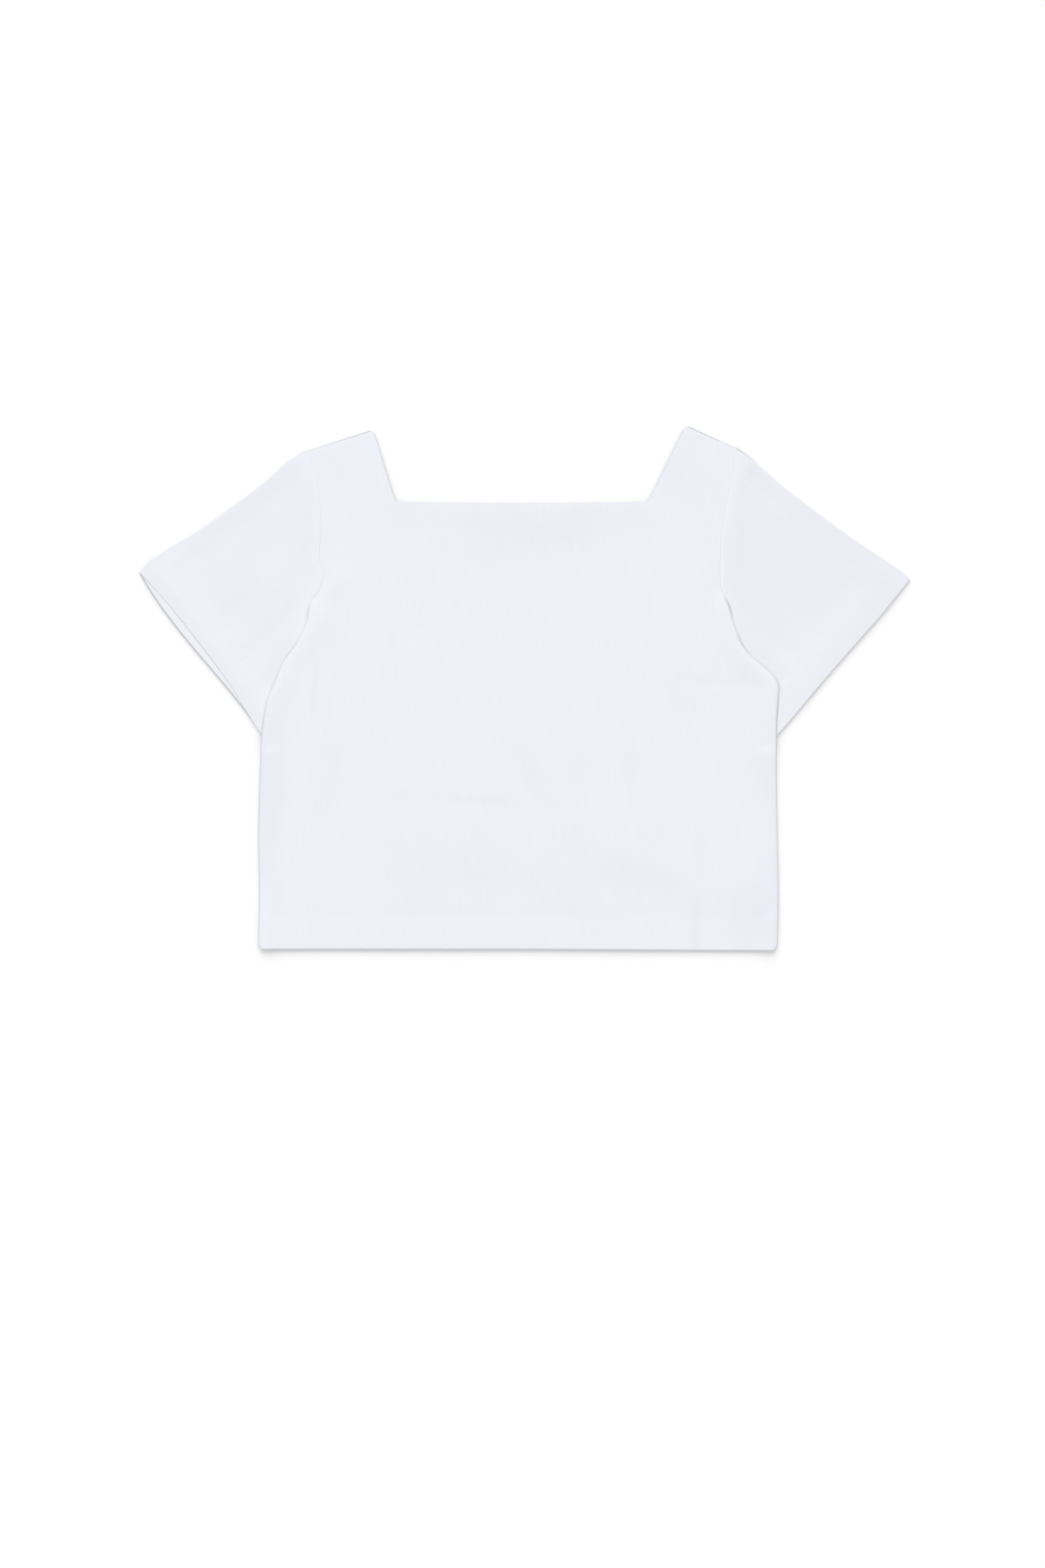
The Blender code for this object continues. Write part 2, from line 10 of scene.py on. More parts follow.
import bpy
import numpy as np
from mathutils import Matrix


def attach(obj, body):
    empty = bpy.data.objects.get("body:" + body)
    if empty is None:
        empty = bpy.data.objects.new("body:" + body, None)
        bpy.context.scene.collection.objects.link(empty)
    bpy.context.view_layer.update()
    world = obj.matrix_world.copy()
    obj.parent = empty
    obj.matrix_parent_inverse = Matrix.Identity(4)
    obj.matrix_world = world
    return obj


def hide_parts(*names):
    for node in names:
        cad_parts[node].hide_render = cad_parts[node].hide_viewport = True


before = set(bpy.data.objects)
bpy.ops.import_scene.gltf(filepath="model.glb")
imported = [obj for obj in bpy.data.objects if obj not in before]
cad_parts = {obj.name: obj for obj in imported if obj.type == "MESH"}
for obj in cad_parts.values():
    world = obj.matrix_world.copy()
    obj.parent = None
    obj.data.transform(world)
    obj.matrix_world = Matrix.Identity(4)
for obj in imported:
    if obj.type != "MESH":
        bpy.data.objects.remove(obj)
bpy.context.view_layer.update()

LEFT, RIGHT = -1, 1
SIDES = ((LEFT, "left"), (RIGHT, "right"))

MM = 0.001
CREASE = (MM, MM, MM, MM, MM, MM, MM, 1)  # the units of a crease's columns
MARK = (MM, MM, MM, MM, MM, 1, MM)  # and of a mark's


def table(units, *rows):
    """Rows of numbers as an array, each column times its unit."""
    return np.array(rows) * units


# ---------------- the cloth

CLOTH = 0.00065  # one layer of jersey
TURNED = 0.00095  # the cloth where a hem is turned up on itself
GAP = 0.00012  # between two layers
BUTT_GAP = 0.00005  # between two pieces sewn edge to edge
HEM_DEPTH = 0.0232
CUFF_DEPTH = {LEFT: 0.0212, RIGHT: 0.0204}
HEM_STEP = 0.0060  # the width over which the cloth thickens at a hem
HEM_HOLD = 0.060  # how far in from a hem its double cloth still holds the single cloth up
NEEDLES_APART = 0.0048  # between the two rows of a twin-needle hem
ROW_INSET = 0.0006  # from the turned edge to the first of them
STITCH_ROWS = (
    # distance from the turned edge, how deep the row pulls the cloth in, half width of its groove
    (ROW_INSET, 0.000040, 0.0012),
    (ROW_INSET + NEEDLES_APART, 0.000025, 0.0009),
)
PUCKERS = (
    # length along the hem, how much of the groove's depth it adds or takes, start in radians
    (0.0074, 0.30, 0),
    (0.0191, 0.22, 1),
)
EDGE_KEPT = 0.35  # the part of its thickness that a free edge keeps at its rim
SEWN_KEPT = 0.92  # and an edge that is sewn to another
EDGE_ROUND = 0.55  # an edge is rounded over this part of the cloth's thickness
PRESSED = {LEFT: 0.65, RIGHT: 0.0}  # how much thinner a cuff's upper layer is pressed at its edge
PRESSED_REACH = 0.0070  # how far in from the edge that fades
ROLL = 0.00100  # how high the rolled side edges stand inside
ROLL_SHAPE = 2.8  # they are this much wider than high
ROLL_START = (0.005, 0.016)  # how far above the top of the tuck they begin, and ease in downwards
ROLL_LIFT = (0.0035, 0.014)  # how far in they lift the cloth in full, and then fade out
SEWN_EDGE = 0.10  # the part of its thickness by which a sewn edge is rounded
RIM_SHARE = 0.22  # the part of a rolled edge's radius that is left as a flat rim

AIR = 0.0005  # how far the front stands off the back
HEM_AIR = 0.0002  # more of it at the hem
NECK_AIR = 0.0004  # and at the neckline
HEM_AIR_REACH = 0.030
NECK_AIR_REACH = 0.020
SIDE_AIR_REACH = 0.016  # how far in from a side it sets in, and twice as far beside the armhole
SHOULDER_AIR = 0.3  # the part of it that is left at the shoulder's fold
SHOULDER_AIR_REACH = 0.030
FRONT_CREASE_REACH = 0.016  # how far in from an edge creases and waves set in
BACK_CREASE_REACH = 0.015
HEM_CURL = 0.0006  # how far the back's hem curls off the floor
CUFF_CURL = 0.0008  # and the lower cuffs
CURL_REACH = 0.038  # how far in from its edge a hem curls
SLEEVE_AIR = 0.0008  # how far a sleeve's layers stand apart in its middle, at the armhole
CUFF_AIR_LESS = 0.9  # the part of it that is gone at the cuff
FOLD_AIR = 0.0007  # how far they stand apart at the top fold
FOLD_AIR_RISE = 0.15  # the share of the way to the cuff over which that grows
FOLD_AIR_FALL = (0.6, 0.55, 0.40)  # and how much of it goes, from which share on and over how much
UNDERARM_AIR = 0.0001  # and at the underarm seam
FOLD_AIR_REACH = 0.016  # how far in from either fold that air reaches
LAYER_EASE = 0.012  # how far in from either fold the rest of the shape sets in
ARMHOLE_EASE = 0.030  # and from the armhole
SEAM_RIDGE = 0.00018  # the seam allowance under the sleeve, along the armhole
SEAM_RIDGE_WIDTH = 0.0075
SEAM_RIDGE_EASES = (0.0042, 0.0030)  # how it rises from the armhole and falls at its far side
SEAM_RIDGE_TOP = 0.010  # how far below the top fold it sets in
SEAM_WELT = 0.00003  # the front's edge stands this much above it
SEAM_WELT_WIDTH = 0.0022

# The body's edges, up the sides from the hem and then round the armholes
BODY_EDGES = table(
    (MM, MM, MM),
    # height, left edge, right edge
    (-180.1, -183.6, 173.8),
    (-150, -183, 174.8),
    (-90, -183.4, 173.9),
    (-50, -181.9, 173.4),
    (-31, -181.1, 173.6),
    (-20, -179.6, 173.9),
    (-8, -177.2, 174.8),
    (4, -171.8, 174.2),
    (12, -168.8, 167.6),
    (21, -164.5, 156.8),
    (31, -157.3, 149.7),
    (45, -150.6, 144),
    (58, -148, 140.5),
    (66, -143, 135.9),
    (75, -139, 134.8),
    (90, -141.8, 134.9),
    (105, -140.9, 135.4),
    (125, -141.3, 138.8),
    (143, -143.7, 142.4),
    (157, -148.6, 144.6),
    (165, -151.5, 145.7),
)
HEM_Y = BODY_EDGES[0, 0]

NECK_Y = 0.1281
NECK_CORNER_X = {LEFT: -0.0889, RIGHT: 0.0847}
NECK_POINT = {LEFT: (-0.1040, 0.1775), RIGHT: (0.1104, 0.1806)}
SHOULDER_Y = {LEFT: 0.1630, RIGHT: 0.1650}
BACK_NECK_EASE = 0.0020  # the back neckline is this much deeper and wider

CUFF_TOP = {LEFT: (-0.2659, 0.0797), RIGHT: (0.2658, 0.0750)}
CUFF_FOOT = {LEFT: (-0.1772, -0.0386), RIGHT: (0.1708, -0.0364)}
UNDERARM = {LEFT: (-0.1473, -0.0381), RIGHT: (0.1395, -0.0357)}
TUCK_TOP_Y = {LEFT: 0.0550, RIGHT: 0.0605}  # below this the sleeve lies inside the body
CUFF_EDGES = table(
    (1, MM, MM, MM, MM),
    # share of the cuff from its top, then how far each edge bows out of a straight line
    # left lower layer, left upper layer, right lower layer, right upper layer
    (0, 0, 0, 0, 0),
    (0.1, 1.5, -1.8, 0.1, 0.4),
    (0.2, 2.2, -3, 0.4, 0.8),
    (0.4, 1.7, -4, 0.1, 0.4),
    (0.6, -0.1, -4.2, -0.3, 0),
    (0.72, -1, -3.4, -0.1, 0.1),
    (0.82, -1.3, -1.8, 0.1, 0.2),
    (1, 0, 0, 0, 0),
)
CUFF_COLUMN = {(LEFT, "lower"): 1, (LEFT, "upper"): 2, (RIGHT, "lower"): 3, (RIGHT, "upper"): 4}
TOP_BOW = table(
    (1, MM, MM),
    # share of the way from shoulder to cuff, then how far the fold rises off a straight line
    # left sleeve, right sleeve
    (0, 0.2, 0.3),
    (0.09, 2.7, 1.1),
    (0.25, -0.3, -1.4),
    (0.45, -0.8, -2),
    (0.7, -0.1, -1.3),
    (0.87, 2.8, 0.4),
    (0.95, 2.8, 1),
    (1, 0, 0),
)

# How the front comes down off the sleeve that is tucked under it
TUCK_FADE = (0.064, 0.100)  # heights between which the sleeve comes up off the floor
STEP = 0.007  # the height within which the front's edge comes over the sleeve
STEP_REACH = 0.009  # how far in from its edge it does so
RIDGE_FALL = 0.026  # inwards from the sleeve's hidden end
UNDERARM_FALL = 0.070  # downwards from its underarm seam
EDGE_FALL = 0.046  # and the same along the side seam
HELD_REACH = 0.018  # the side seam holds the cloth down this far in
CUFF_EASE = (0.022, 0.058)  # from the cuff's edge, where its thickness fades under the front
BACK_MARGIN = 0.002  # the sleeve is clear of the back this far beside it
BACK_RAMP = 0.012
SIDE_SEAM_TOP = (-0.046, -0.0392)  # heights between which the side seam closes

# Softened corners of the body: each is pushed a little way, fading out round it
CORNERS = table(
    (MM, MM, 1, 1, MM, MM),
    # x, y, direction x, direction y, push, reach
    (-88.9, 128.1, 0.58, 0.81, 0.9, 3.6),
    (84.7, 128.1, -0.51, 0.86, 0.9, 3.6),
    (-104, 177.5, -0.45, -0.89, 1.3, 3.6),
    (110.4, 180.6, 0.32, -0.95, 1.3, 3.6),
    (-183.6, -180.1, 0.71, 0.71, 1.1, 3.2),
    (173.8, -180.1, -0.71, 0.71, 1.1, 3.2),
)
HEM_SAG = 0.0009  # how much lower the hem's right end lies
HEM_SAG_SPAN = (-0.02, 0.19)  # from this x on, and over this width
HEM_SAG_FADE = 0.05  # upwards from the hem
NECK_SAG = 0.0010  # how far the neckline's bottom edge sags in its middle
NECK_SAG_FADE = 0.03  # downwards from it

# Creases: soft ridges (+) and troughs (-). Each runs along a bowed line and fades at both ends.
# A lean makes one flank steeper: it is 0 for an even crease and up to 1.
CREASE_END = 0.25  # the part of its height that a crease has at the two ends of its line
FRONT_CREASES = table(
    CREASE,
    # x1, y1, x2, y2, bow, height, half width, lean
    (-133, -75, 22, -83, 1, -0.12, 4, 0.5),
    (-60, -79, 0, -81, 0, -0.08, 3, 0.5),
    (108, 3, 163, 1, -1.5, -0.26, 4, 0.5),
    (-10, -40, 12, -104, 4, -0.45, 11.5, 0.2),
    (6, -96, 112, -150, -6, -0.5, 16.5, 0.1),
    (72, -44, 74, -80, 2, -0.34, 8, 0.3),
    (121, -98, 126, -138, 1.5, -0.36, 7, -0.3),
    (98, -58, 104, -120, 3, 0.26, 10, 0),
    (-38, 106, 60, 102, -4, -0.34, 9.5, 0.3),
    (-12, 91, 84, 78, -5, 0.2, 10, 0),
    (121, -142, 121.5, -182, 0, -0.5, 3.4, 0.2),
    (-148.2, -154, -148.2, -182, 0, -0.24, 1.2, 0.4),
    (158, -146, 164, -184, 1, -0.5, 8, 0),
    (-124, 62, -137, 136, -3, 0.24, 7, 0),
    (120, 60, 131, 140, 3, 0.26, 7.5, 0),
    (30, 52, 98, 18, 5, -0.2, 15, 0),
    (-92, 48, -58, 30, 2, -0.16, 8, 0),
    (-152, -46, -170, -118, 2, 0.18, 4.5, 0.3),
    (-60, -128, 0, -136, -3, -0.22, 13, 0),
)
BACK_CREASES = table(
    CREASE,
    # x1, y1, x2, y2, bow, height, half width, lean
    (-90, -66, 40, -78, 3, 0.26, 6, 0.4),
    (20, 10, 110, -34, -5, 0.22, 9, 0.2),
    (-110, 40, -60, -10, 4, 0.24, 8, -0.3),
    (-30, 94, 56, 100, 3, 0.2, 8, 0),
    (60, -96, 118, -132, -4, 0.26, 9, 0.3),
    (-70, -112, -30, -140, 2, 0.2, 7, 0),
)
SLEEVE_CREASES = {
    LEFT: table(
        CREASE,
        # x1, y1, x2, y2, bow, height, half width, lean
        (-152, 70, -205, 14, 5, -0.3, 9, 0.2),
        (-160, 40, -188, 2, 3, 0.4, 7, 0.4),
        (-150, 120, -196, 86, 3, -0.2, 10, 0),
        (-190, 100, -232, 60, -3, 0.2, 11, 0),
        (-185, 60, -226, 36, 2, -0.18, 8, 0),
    ),
    RIGHT: table(
        CREASE,
        # x1, y1, x2, y2, bow, height, half width, lean
        (150, 62, 196, 12, -6, -0.34, 9, 0.2),
        (158, 34, 184, -4, -3, 0.36, 7, 0.3),
        (150, 128, 190, 98, -4, -0.24, 9, 0),
        (176, 92, 226, 56, 4, 0.22, 11, 0),
        (158, 150, 152, 118, 1, -0.3, 4, 0.4),
    ),
}
# Painted light (+) and painted shade (-) along creases, folds and ridges, and where the light falls off
# across the cloth: the same columns as a crease, without a lean
FRONT_PAINTED_SHADING = table(
    MARK,
    # x1, y1, x2, y2, bow, painted light (+) or shade (-), half width
    (-147.9, 32, -147.9, -40, 0, 0.008, 1.2),
    (-145.2, 32, -145, -40, 0, -0.019, 1.8),
    (-152, 32, -151.5, -40, 0, 0.004, 2.2),
    (-138.5, 106, -139.5, 66, 0, -0.013, 6),
    (129, 96, 130, 58, 0, -0.016, 6),
    (-180, -151.5, 175, -152.5, 0, -0.009, 5.8),
    (138.5, 46, 164, 10, 0, -0.014, 4),
    (-144, -40, -138, -50, -1, 0.006, 2),
    (-151.5, -46, -169.5, -118, 2, 0.006, 4.5),
    (-181.5, -10, -180, -135, 0, -0.026, 9.5),
    (170, -20, 172, -140, 0, -0.008, 8),
    (-40, 103, 58, 102, -6, -0.009, 14),
    (-133, -74, 20, -83, 0, -0.009, 3.5),
    (-60, -78.5, 0, -80, 0, -0.008, 2.8),
    (-120, -118, 10, -122, 0, -0.008, 18),
    (-6, -36, 14, -100, 4, -0.011, 8.5),
    (10, -100, 112, -134, -8, -0.013, 15),
    (70.5, -38, 72.5, -77, 1, -0.018, 6),
    (118.5, -98, 120.5, -130, 0, -0.014, 5.5),
    (140, -100, 154, -134, 0, 0.006, 5),
    (166, -130, 152, -182, 0, -0.042, 19),
    (-182, -148, 175, -150, 0, -0.014, 42),
    (10, -128, 140, -140, 0, -0.006, 20),
    (-152, -44, -152, -98, 0, 0.013, 14),
    (142, -40, 142, -100, 0, 0.013, 15),
    (-168, 10, -172, -50, 0, -0.012, 13),
    (150, 30, 164, -40, 0, -0.012, 15),
    (117, -150, 117.5, -186, 0, -0.034, 4.2),
    (-148.2, -158, -148.2, -182, 0, -0.012, 1.2),
    (120, 40, 110, -60, 0, -0.008, 40),
    (105, 178, 132, 100, 0, -0.011, 22),
    (-130, 178, -118, 120, 0, -0.011, 20),
)
BACK_PAINTED_SHADING = table(
    MARK,
    # x1, y1, x2, y2, bow, painted light (+) or shade (-), half width
    (20, 10, 110, -34, -5, 0.006, 4),
)
SLEEVE_PAINTED_SHADING = table(
    MARK,
    # x1, y1, x2, y2, bow, painted light (+) or shade (-), half width
    (156, 151, 144, 66, -1, -0.018, 2.6),
    (148, 158, 160, 0, 0, -0.014, 18),
    (170, 120, 236, 74, 0, -0.018, 40),
    (262, 72, 176, -30, 0, -0.024, 18),
    (230, 100, 270, 62, 0, -0.026, 20),
    (-262, 76, -180, -32, 0, -0.003, 17),
    (-240, 98, -266, 66, 0, -0.012, 14),
    (-147.8, 152, -148.2, 58, 0, -0.014, 3.8),
    (140.2, 112, 138.6, 62, 0, -0.016, 3.2),
    (145, 90, 144, 48, 0, -0.012, 6),
    (-166, 4, -185, -18, 0, 0.016, 9),
    (-150, 46, -157, 28, 0, 0.01, 4),
    (157.5, 153.5, 155, 147, 0, -0.032, 3.2),
)
# Painted shade where folds are pressed into the front's edge under the arms, so it looks darker there
EDGE_FOLDS = (
    # side, height, half of its length, shade
    (LEFT, 0.0515, 0.0085, 0.10),
    (LEFT, 0.0262, 0.0085, 0.16),
    (RIGHT, 0.0550, 0.0085, 0.26),
    (RIGHT, 0.0309, 0.0085, 0.22),
    (RIGHT, -0.0144, 0.0220, 0.14),
)
EDGE_FOLD_REACH = 0.0018  # how far in from the edge they reach
SEAM_LIGHT = 0.034  # painted highlight where the armhole seams catch the light
SEAM_LINE = {
    # the painted highlight line beside each seam: how light on the front and on the sleeve, and how far
    # off
    LEFT: (0.022, 0.004, 0.0013),
    RIGHT: (0.000, 0.014, 0.0013),
}
SEAM_LINE_HALF = 0.0006  # half of its width
# Where the white is a little warmer: the single cloth of the sleeves, and some of the front
FRONT_TINTS = table(
    MARK,
    # x1, y1, x2, y2, bow, tint, half width
    (-80, 108, 76, 106, -6, 0.9, 15),
    (30, -40, 42, -66, 0, 0.5, 13),
    (88, -88, 92, -116, 0, 0.5, 10),
    (-140, -20, -120, -80, 0, 0.3, 16),
    (-60, 60, 20, -10, 0, 0.3, 30),
)
CUFF_TINT_EASE = (0.018, 0.040)  # from the cuff's edge, where the sleeves' tint sets in
ARMHOLE_TINT_EASE = (0.004, 0.018)  # and from the armhole
# How much painted shade each edge gets, where the cloth turns down into its own shadow
SIDE_SHADE = 0.33
LOBE_SHADE = {LEFT: 0.08, RIGHT: 0.17}  # the side's edge where it lies over the sleeve
LOBE_FADE = 0.024  # from y = 0 down, where that goes over into SIDE_SHADE
SHOULDER_SHADE = 0.33
STRAP_SHADE = {LEFT: 0.28, RIGHT: 0.20}
NECK_SHADE = 0.12
HEM_SHADE = 0.25
LOWER_CUFF_SHADE = 0.50
FOLD_SHADE = 0.10
HEAD_SHADE = {LEFT: 0.46, RIGHT: 0.85}  # the sleeve's top fold next to the shoulder
HEAD_REACH = {LEFT: 0.0100, RIGHT: 0.0240}  # how far along the fold that fades
SHADE_REACH = 0.0011  # how far in from its edge a shade reaches
# The lie of the whole cloth: long low waves that no fold explains
WAVES = table(
    (1, MM, 1, MM),
    # direction in degrees, length, start as a share of a turn, height
    (12, 118, 0.1, 0.09),
    (74, 87, 0.55, 0.04),
    (128, 141, 0.3, 0.06),
    (161, 63, 0.8, 0.05),
    (40, 49, 0.25, 0.03),
    (97, 37, 0.65, 0.02),
)

# ---------------- the grids

# Distances of the first rows in from an edge, or none but the edge itself
EDGE_STEPS = np.array((0.0, 0.00012, 0.00028, 0.0005, 0.0008, 0.0012, 0.0017, 0.0024, 0.0034))
POINT = np.zeros(1)
HEM_PITCH = 0.0010
HEM_ROWS = 1.12  # the rows of that pitch reach up this many times the hem's depth
CUFF_ROWS = 1.15  # and the cuff's
BODY_PITCH = 0.0021
STRAP_PITCH = 0.040  # as a share of a strap's length
STRAP_START = np.array((0.0, 0.006, 0.014, 0.028, 0.048))
STRAP_END = np.array((0.0, 0.004, 0.010, 0.020, 0.036, 0.058))
BAND_COLUMNS = 52  # from the body's edge to the neckline's corner
MIDDLE_COLUMNS = 74  # between the two corners
SLEEVE_PITCH = 0.0018
CUFF_ROWS_LEFT_OUT = 1.2  # the cuff's depths that are left out when a sleeve's middle rows are counted
FOLD_ROUNDS = 3  # the rounds in which a fold's points find their place
SIDE_POINTS = 90  # of the line from which distances from a side are measured
FOLD_TURNS = np.radians(np.linspace(0, 180, 11))
FOLD_STEPS = np.array((0.0, 0.013, 0.016, 0.021))  # shares of the armhole, next to a fold


def ease(share):
    """0 below 0 and 1 above 1, and 3t^2 - 2t^3 between them."""
    t = np.clip(share, 0, 1)
    return t * t * (3 - 2 * t)


def by_side(x, value):
    """The left side's value left of the middle, and the right side's right of it."""
    return np.where(x < 0, value(LEFT), value(RIGHT))


def smooth_through(x, known_x, known_y):
    """A cubic through the known points, as steep at each as the line between its neighbours."""
    slopes = np.gradient(known_y, known_x)
    i = np.clip(np.searchsorted(known_x, x) - 1, 0, len(known_x) - 2)
    width = known_x[i + 1] - known_x[i]
    t = (x - known_x[i]) / width
    start = (1 + 2 * t) * (1 - t) ** 2 * known_y[i] + t * (1 - t) ** 2 * width * slopes[i]
    end = t * t * (3 - 2 * t) * known_y[i + 1] - t * t * (1 - t) * width * slopes[i + 1]
    return start + end


def stations(start, end, pitch, at_start, at_end):
    """Places from start to end: the given steps at each end, and even ones of a pitch between."""
    first, last = start + at_start[-1], end - at_end[-1]
    middle = np.linspace(first, last, max(2, int(round((last - first) / pitch)) + 1))
    return np.concatenate([start + at_start[:-1], middle, end - at_end[-2::-1]])


# ---------------- outlines


def edge_x(side, y):
    """Where the body's left or right edge is at these heights."""
    return smooth_through(np.asarray(y, float), BODY_EDGES[:, 0], BODY_EDGES[:, 1 if side == LEFT else 2])


def sleeve_end_x(side, y):
    """The sleeve's inner end: along the seam and, below the top of the tuck, inside the body."""
    top, foot = TUCK_TOP_Y[side], UNDERARM[side]
    seam = edge_x(side, y) + side * BUTT_GAP
    turn = edge_x(side, top) + side * BUTT_GAP
    hidden = turn + (foot[0] - turn) * np.clip((top - y) / (top - foot[1]), 0, 1)
    return np.where(y > top, seam, hidden)


def distance_to(line, x, y):
    """Distance from each point to the nearest stretch of a line of points."""
    start, run = line[:-1], np.diff(line, axis=0)
    nearest = np.full(np.shape(x), np.inf)
    for (sx, sy), (rx, ry) in zip(start, run):
        dx, dy = x - sx, y - sy
        along = np.clip((dx * rx + dy * ry) / (rx * rx + ry * ry), 0, 1)
        nearest = np.minimum(nearest, np.hypot(dx - along * rx, dy - along * ry))
    return nearest


def side_line(side):
    """One of the body's edges as a line of points."""
    heights = np.linspace(HEM_Y, SHOULDER_Y[side], SIDE_POINTS)
    return np.column_stack([edge_x(side, heights), heights])


def from_side(side, x, y):
    """Distance from one of the body's edges, less than 0 outside it."""
    return distance_to(side_line(side), x, y) * np.sign(side * (edge_x(side, y) - x))


def from_sides(x, y):
    """Distance from the nearer of the body's two edges."""
    return np.minimum(distance_to(side_line(LEFT), x, y), distance_to(side_line(RIGHT), x, y))


def shoulder_line(side, widen):
    """A shoulder's fold, from the armhole to the neck. The neckline may be widened."""
    tip = (NECK_POINT[side][0] + side * widen, NECK_POINT[side][1])
    return np.array([(edge_x(side, SHOULDER_Y[side]), SHOULDER_Y[side]), tip])


def neck_line(widen):
    """The neckline from one shoulder to the other, widened and deepened by the same amount."""
    return np.array(
        [
            shoulder_line(LEFT, widen)[1],
            (NECK_CORNER_X[LEFT] - widen, NECK_Y - widen),
            (NECK_CORNER_X[RIGHT] + widen, NECK_Y - widen),
            shoulder_line(RIGHT, widen)[1],
        ]
    )


def from_shoulders(widen, x, y):
    """Distance from the nearer shoulder's fold."""
    left, right = shoulder_line(LEFT, widen), shoulder_line(RIGHT, widen)
    return np.minimum(distance_to(left, x, y), distance_to(right, x, y))


def cuff_distance(side, x, y):
    """Distance in from the straight line through the cuff's two corners."""
    top, foot = np.array(CUFF_TOP[side]), np.array(CUFF_FOOT[side])
    along = (foot - top) / np.hypot(*(foot - top))
    return side * ((x - top[0]) * along[1] - (y - top[1]) * along[0])


# ---------------- heights


def creases(rows, x, y):
    """The sum of the creases or marks at each point.

    Each is its height times a bell curve across its bowed line, times a half sine along it that
    falls to CREASE_END at both ends. The same bell curve lets it fade beyond them. The lean, if
    there is one, multiplies it by 1 + lean tanh(distance / half width).
    """
    total = np.zeros(np.shape(x))
    for x1, y1, x2, y2, bow, height, half_width, *lean in rows:
        length = math.hypot(x2 - x1, y2 - y1)
        ux, uy = (x2 - x1) / length, (y2 - y1) / length
        t = ((x - x1) * ux + (y - y1) * uy) / length
        inside = np.clip(t, 0, 1)
        across = (y - y1) * ux - (x - x1) * uy - bow * 4 * inside * (1 - inside)
        share = across / half_width
        beyond = (t - inside) * length / half_width
        bell = np.exp(-(share**2) - beyond**2)
        along = CREASE_END + (1 - CREASE_END) * np.sin(np.pi * inside)
        total += height * bell * (1 + sum(lean) * np.tanh(share)) * along
    return total


def waves(x, y):
    """Long sine waves, summed."""
    total = np.zeros(np.shape(x))
    for direction, length, start, height in WAVES:
        along = x * math.cos(math.radians(direction)) + y * math.sin(math.radians(direction))
        total += height * np.sin(2 * np.pi * (along / length + start))
    return total


def body_wall(y):
    """Thickness of the body's cloth, which grows in the turned hem."""
    return CLOTH + (TURNED - CLOTH) * ease((HEM_Y + HEM_DEPTH - y) / HEM_STEP + 0.5)


def cuff_wall(side, from_cuff):
    """Thickness of a sleeve's cloth, which grows in the same way in its turned cuff."""
    return CLOTH + (TURNED - CLOTH) * ease((CUFF_DEPTH[side] - from_cuff) / HEM_STEP + 0.5)


def edge_shade(strength, distance):
    """The painted shade of an edge: its strength there, falling off as a square inwards."""
    return strength * np.clip(1 - distance / SHADE_REACH, 0, 1) ** 2


def seam_light(side, part, distance):
    """How much painted highlight a seam gets: most at the seam itself, and again in a thin line beside it.
    """
    line, away = SEAM_LINE[side][part], SEAM_LINE[side][2]
    beside = line * np.exp(-(((distance - away) / SEAM_LINE_HALF) ** 2))
    return SEAM_LIGHT * np.clip(1 - distance / SHADE_REACH, 0, 1) + beside


def curl(from_edge, height=HEM_CURL):
    """How far a hem curls off the floor: it eases to nothing away from its free edge."""
    return height * ease(1 - from_edge / CURL_REACH)


def hem_hold(from_edge, depth):
    """How far a hem's two double layers hold up the single cloth beside it, fading out inwards."""
    inward = from_edge - depth
    return 2 * (TURNED - CLOTH) * ease(inward / HEM_STEP + 0.5) * (1 - ease(inward / HEM_HOLD))


def stitch_groove(from_edge, depth, along):
    """How far two rows of stitches pull the cloth in: a bell curve round each, puckered along it."""
    groove = np.zeros(np.shape(from_edge))
    for inset, pull, half in STITCH_ROWS:
        groove = groove + pull * np.exp(-(((from_edge - depth + inset) / half) ** 2))
    pucker = 1 + sum(more * np.sin(2 * np.pi * along / length + start) for length, more, start in PUCKERS)
    return groove * pucker


def tucked(y):
    """1 where the sleeve lies on the back under the arm, 0 where it lies beside it on the floor."""
    return ease((TUCK_FADE[1] - y) / (TUCK_FADE[1] - TUCK_FADE[0]))


def stepped(side, y):
    """1 where the front's edge lies over the sleeve, 0 where the two meet edge to edge."""
    return ease((TUCK_TOP_Y[side] + STEP - y) / STEP)


def stepped_at(x, y):
    """The same on whichever side a point is."""
    return by_side(x, lambda side: stepped(side, y))


def side_seam(y):
    """1 where front and back are sewn together down the side, 0 above it."""
    return ease((SIDE_SEAM_TOP[1] - y) / (SIDE_SEAM_TOP[1] - SIDE_SEAM_TOP[0]))


def over_back(side, x, y):
    """1 where the sleeve lies on the back, easing to 0 beside it."""
    return ease(1 + (from_side(side, x, y) + BACK_MARGIN) / BACK_RAMP) * tucked(y)


def under_front(side, x, y, side_way):
    """How high the sleeve holds the front off the back.

    It is the sleeve's two layers, less what they fade by inwards and, over a longer way, down. Next
    to the side seam they fade down sooner. Above the tuck the edge is only as high as the sleeve's.
    """
    turned = ease((CUFF_EASE[1] - cuff_distance(side, x, y)) / (CUFF_EASE[1] - CUFF_EASE[0]))
    layers = 2 * (CLOTH + (TURNED - CLOTH) * turned) + 2 * GAP + UNDERARM_AIR
    inwards = side * (sleeve_end_x(side, np.minimum(y, TUCK_FADE[1])) - x)
    below = UNDERARM[side][1] - y
    held = 1 - ease(side_way / HELD_REACH)
    down = held * ease(below / EDGE_FALL) + (1 - held) * ease(below / UNDERARM_FALL)
    edge = 1 - ease(side_way / STEP_REACH)
    over = edge * stepped(side, y) + (1 - edge) * tucked(y)
    height = (CLOTH + GAP) * tucked(y) + (layers - CLOTH - GAP) * over
    return height * (1 - ease(inwards / RIDGE_FALL)) * (1 - down)


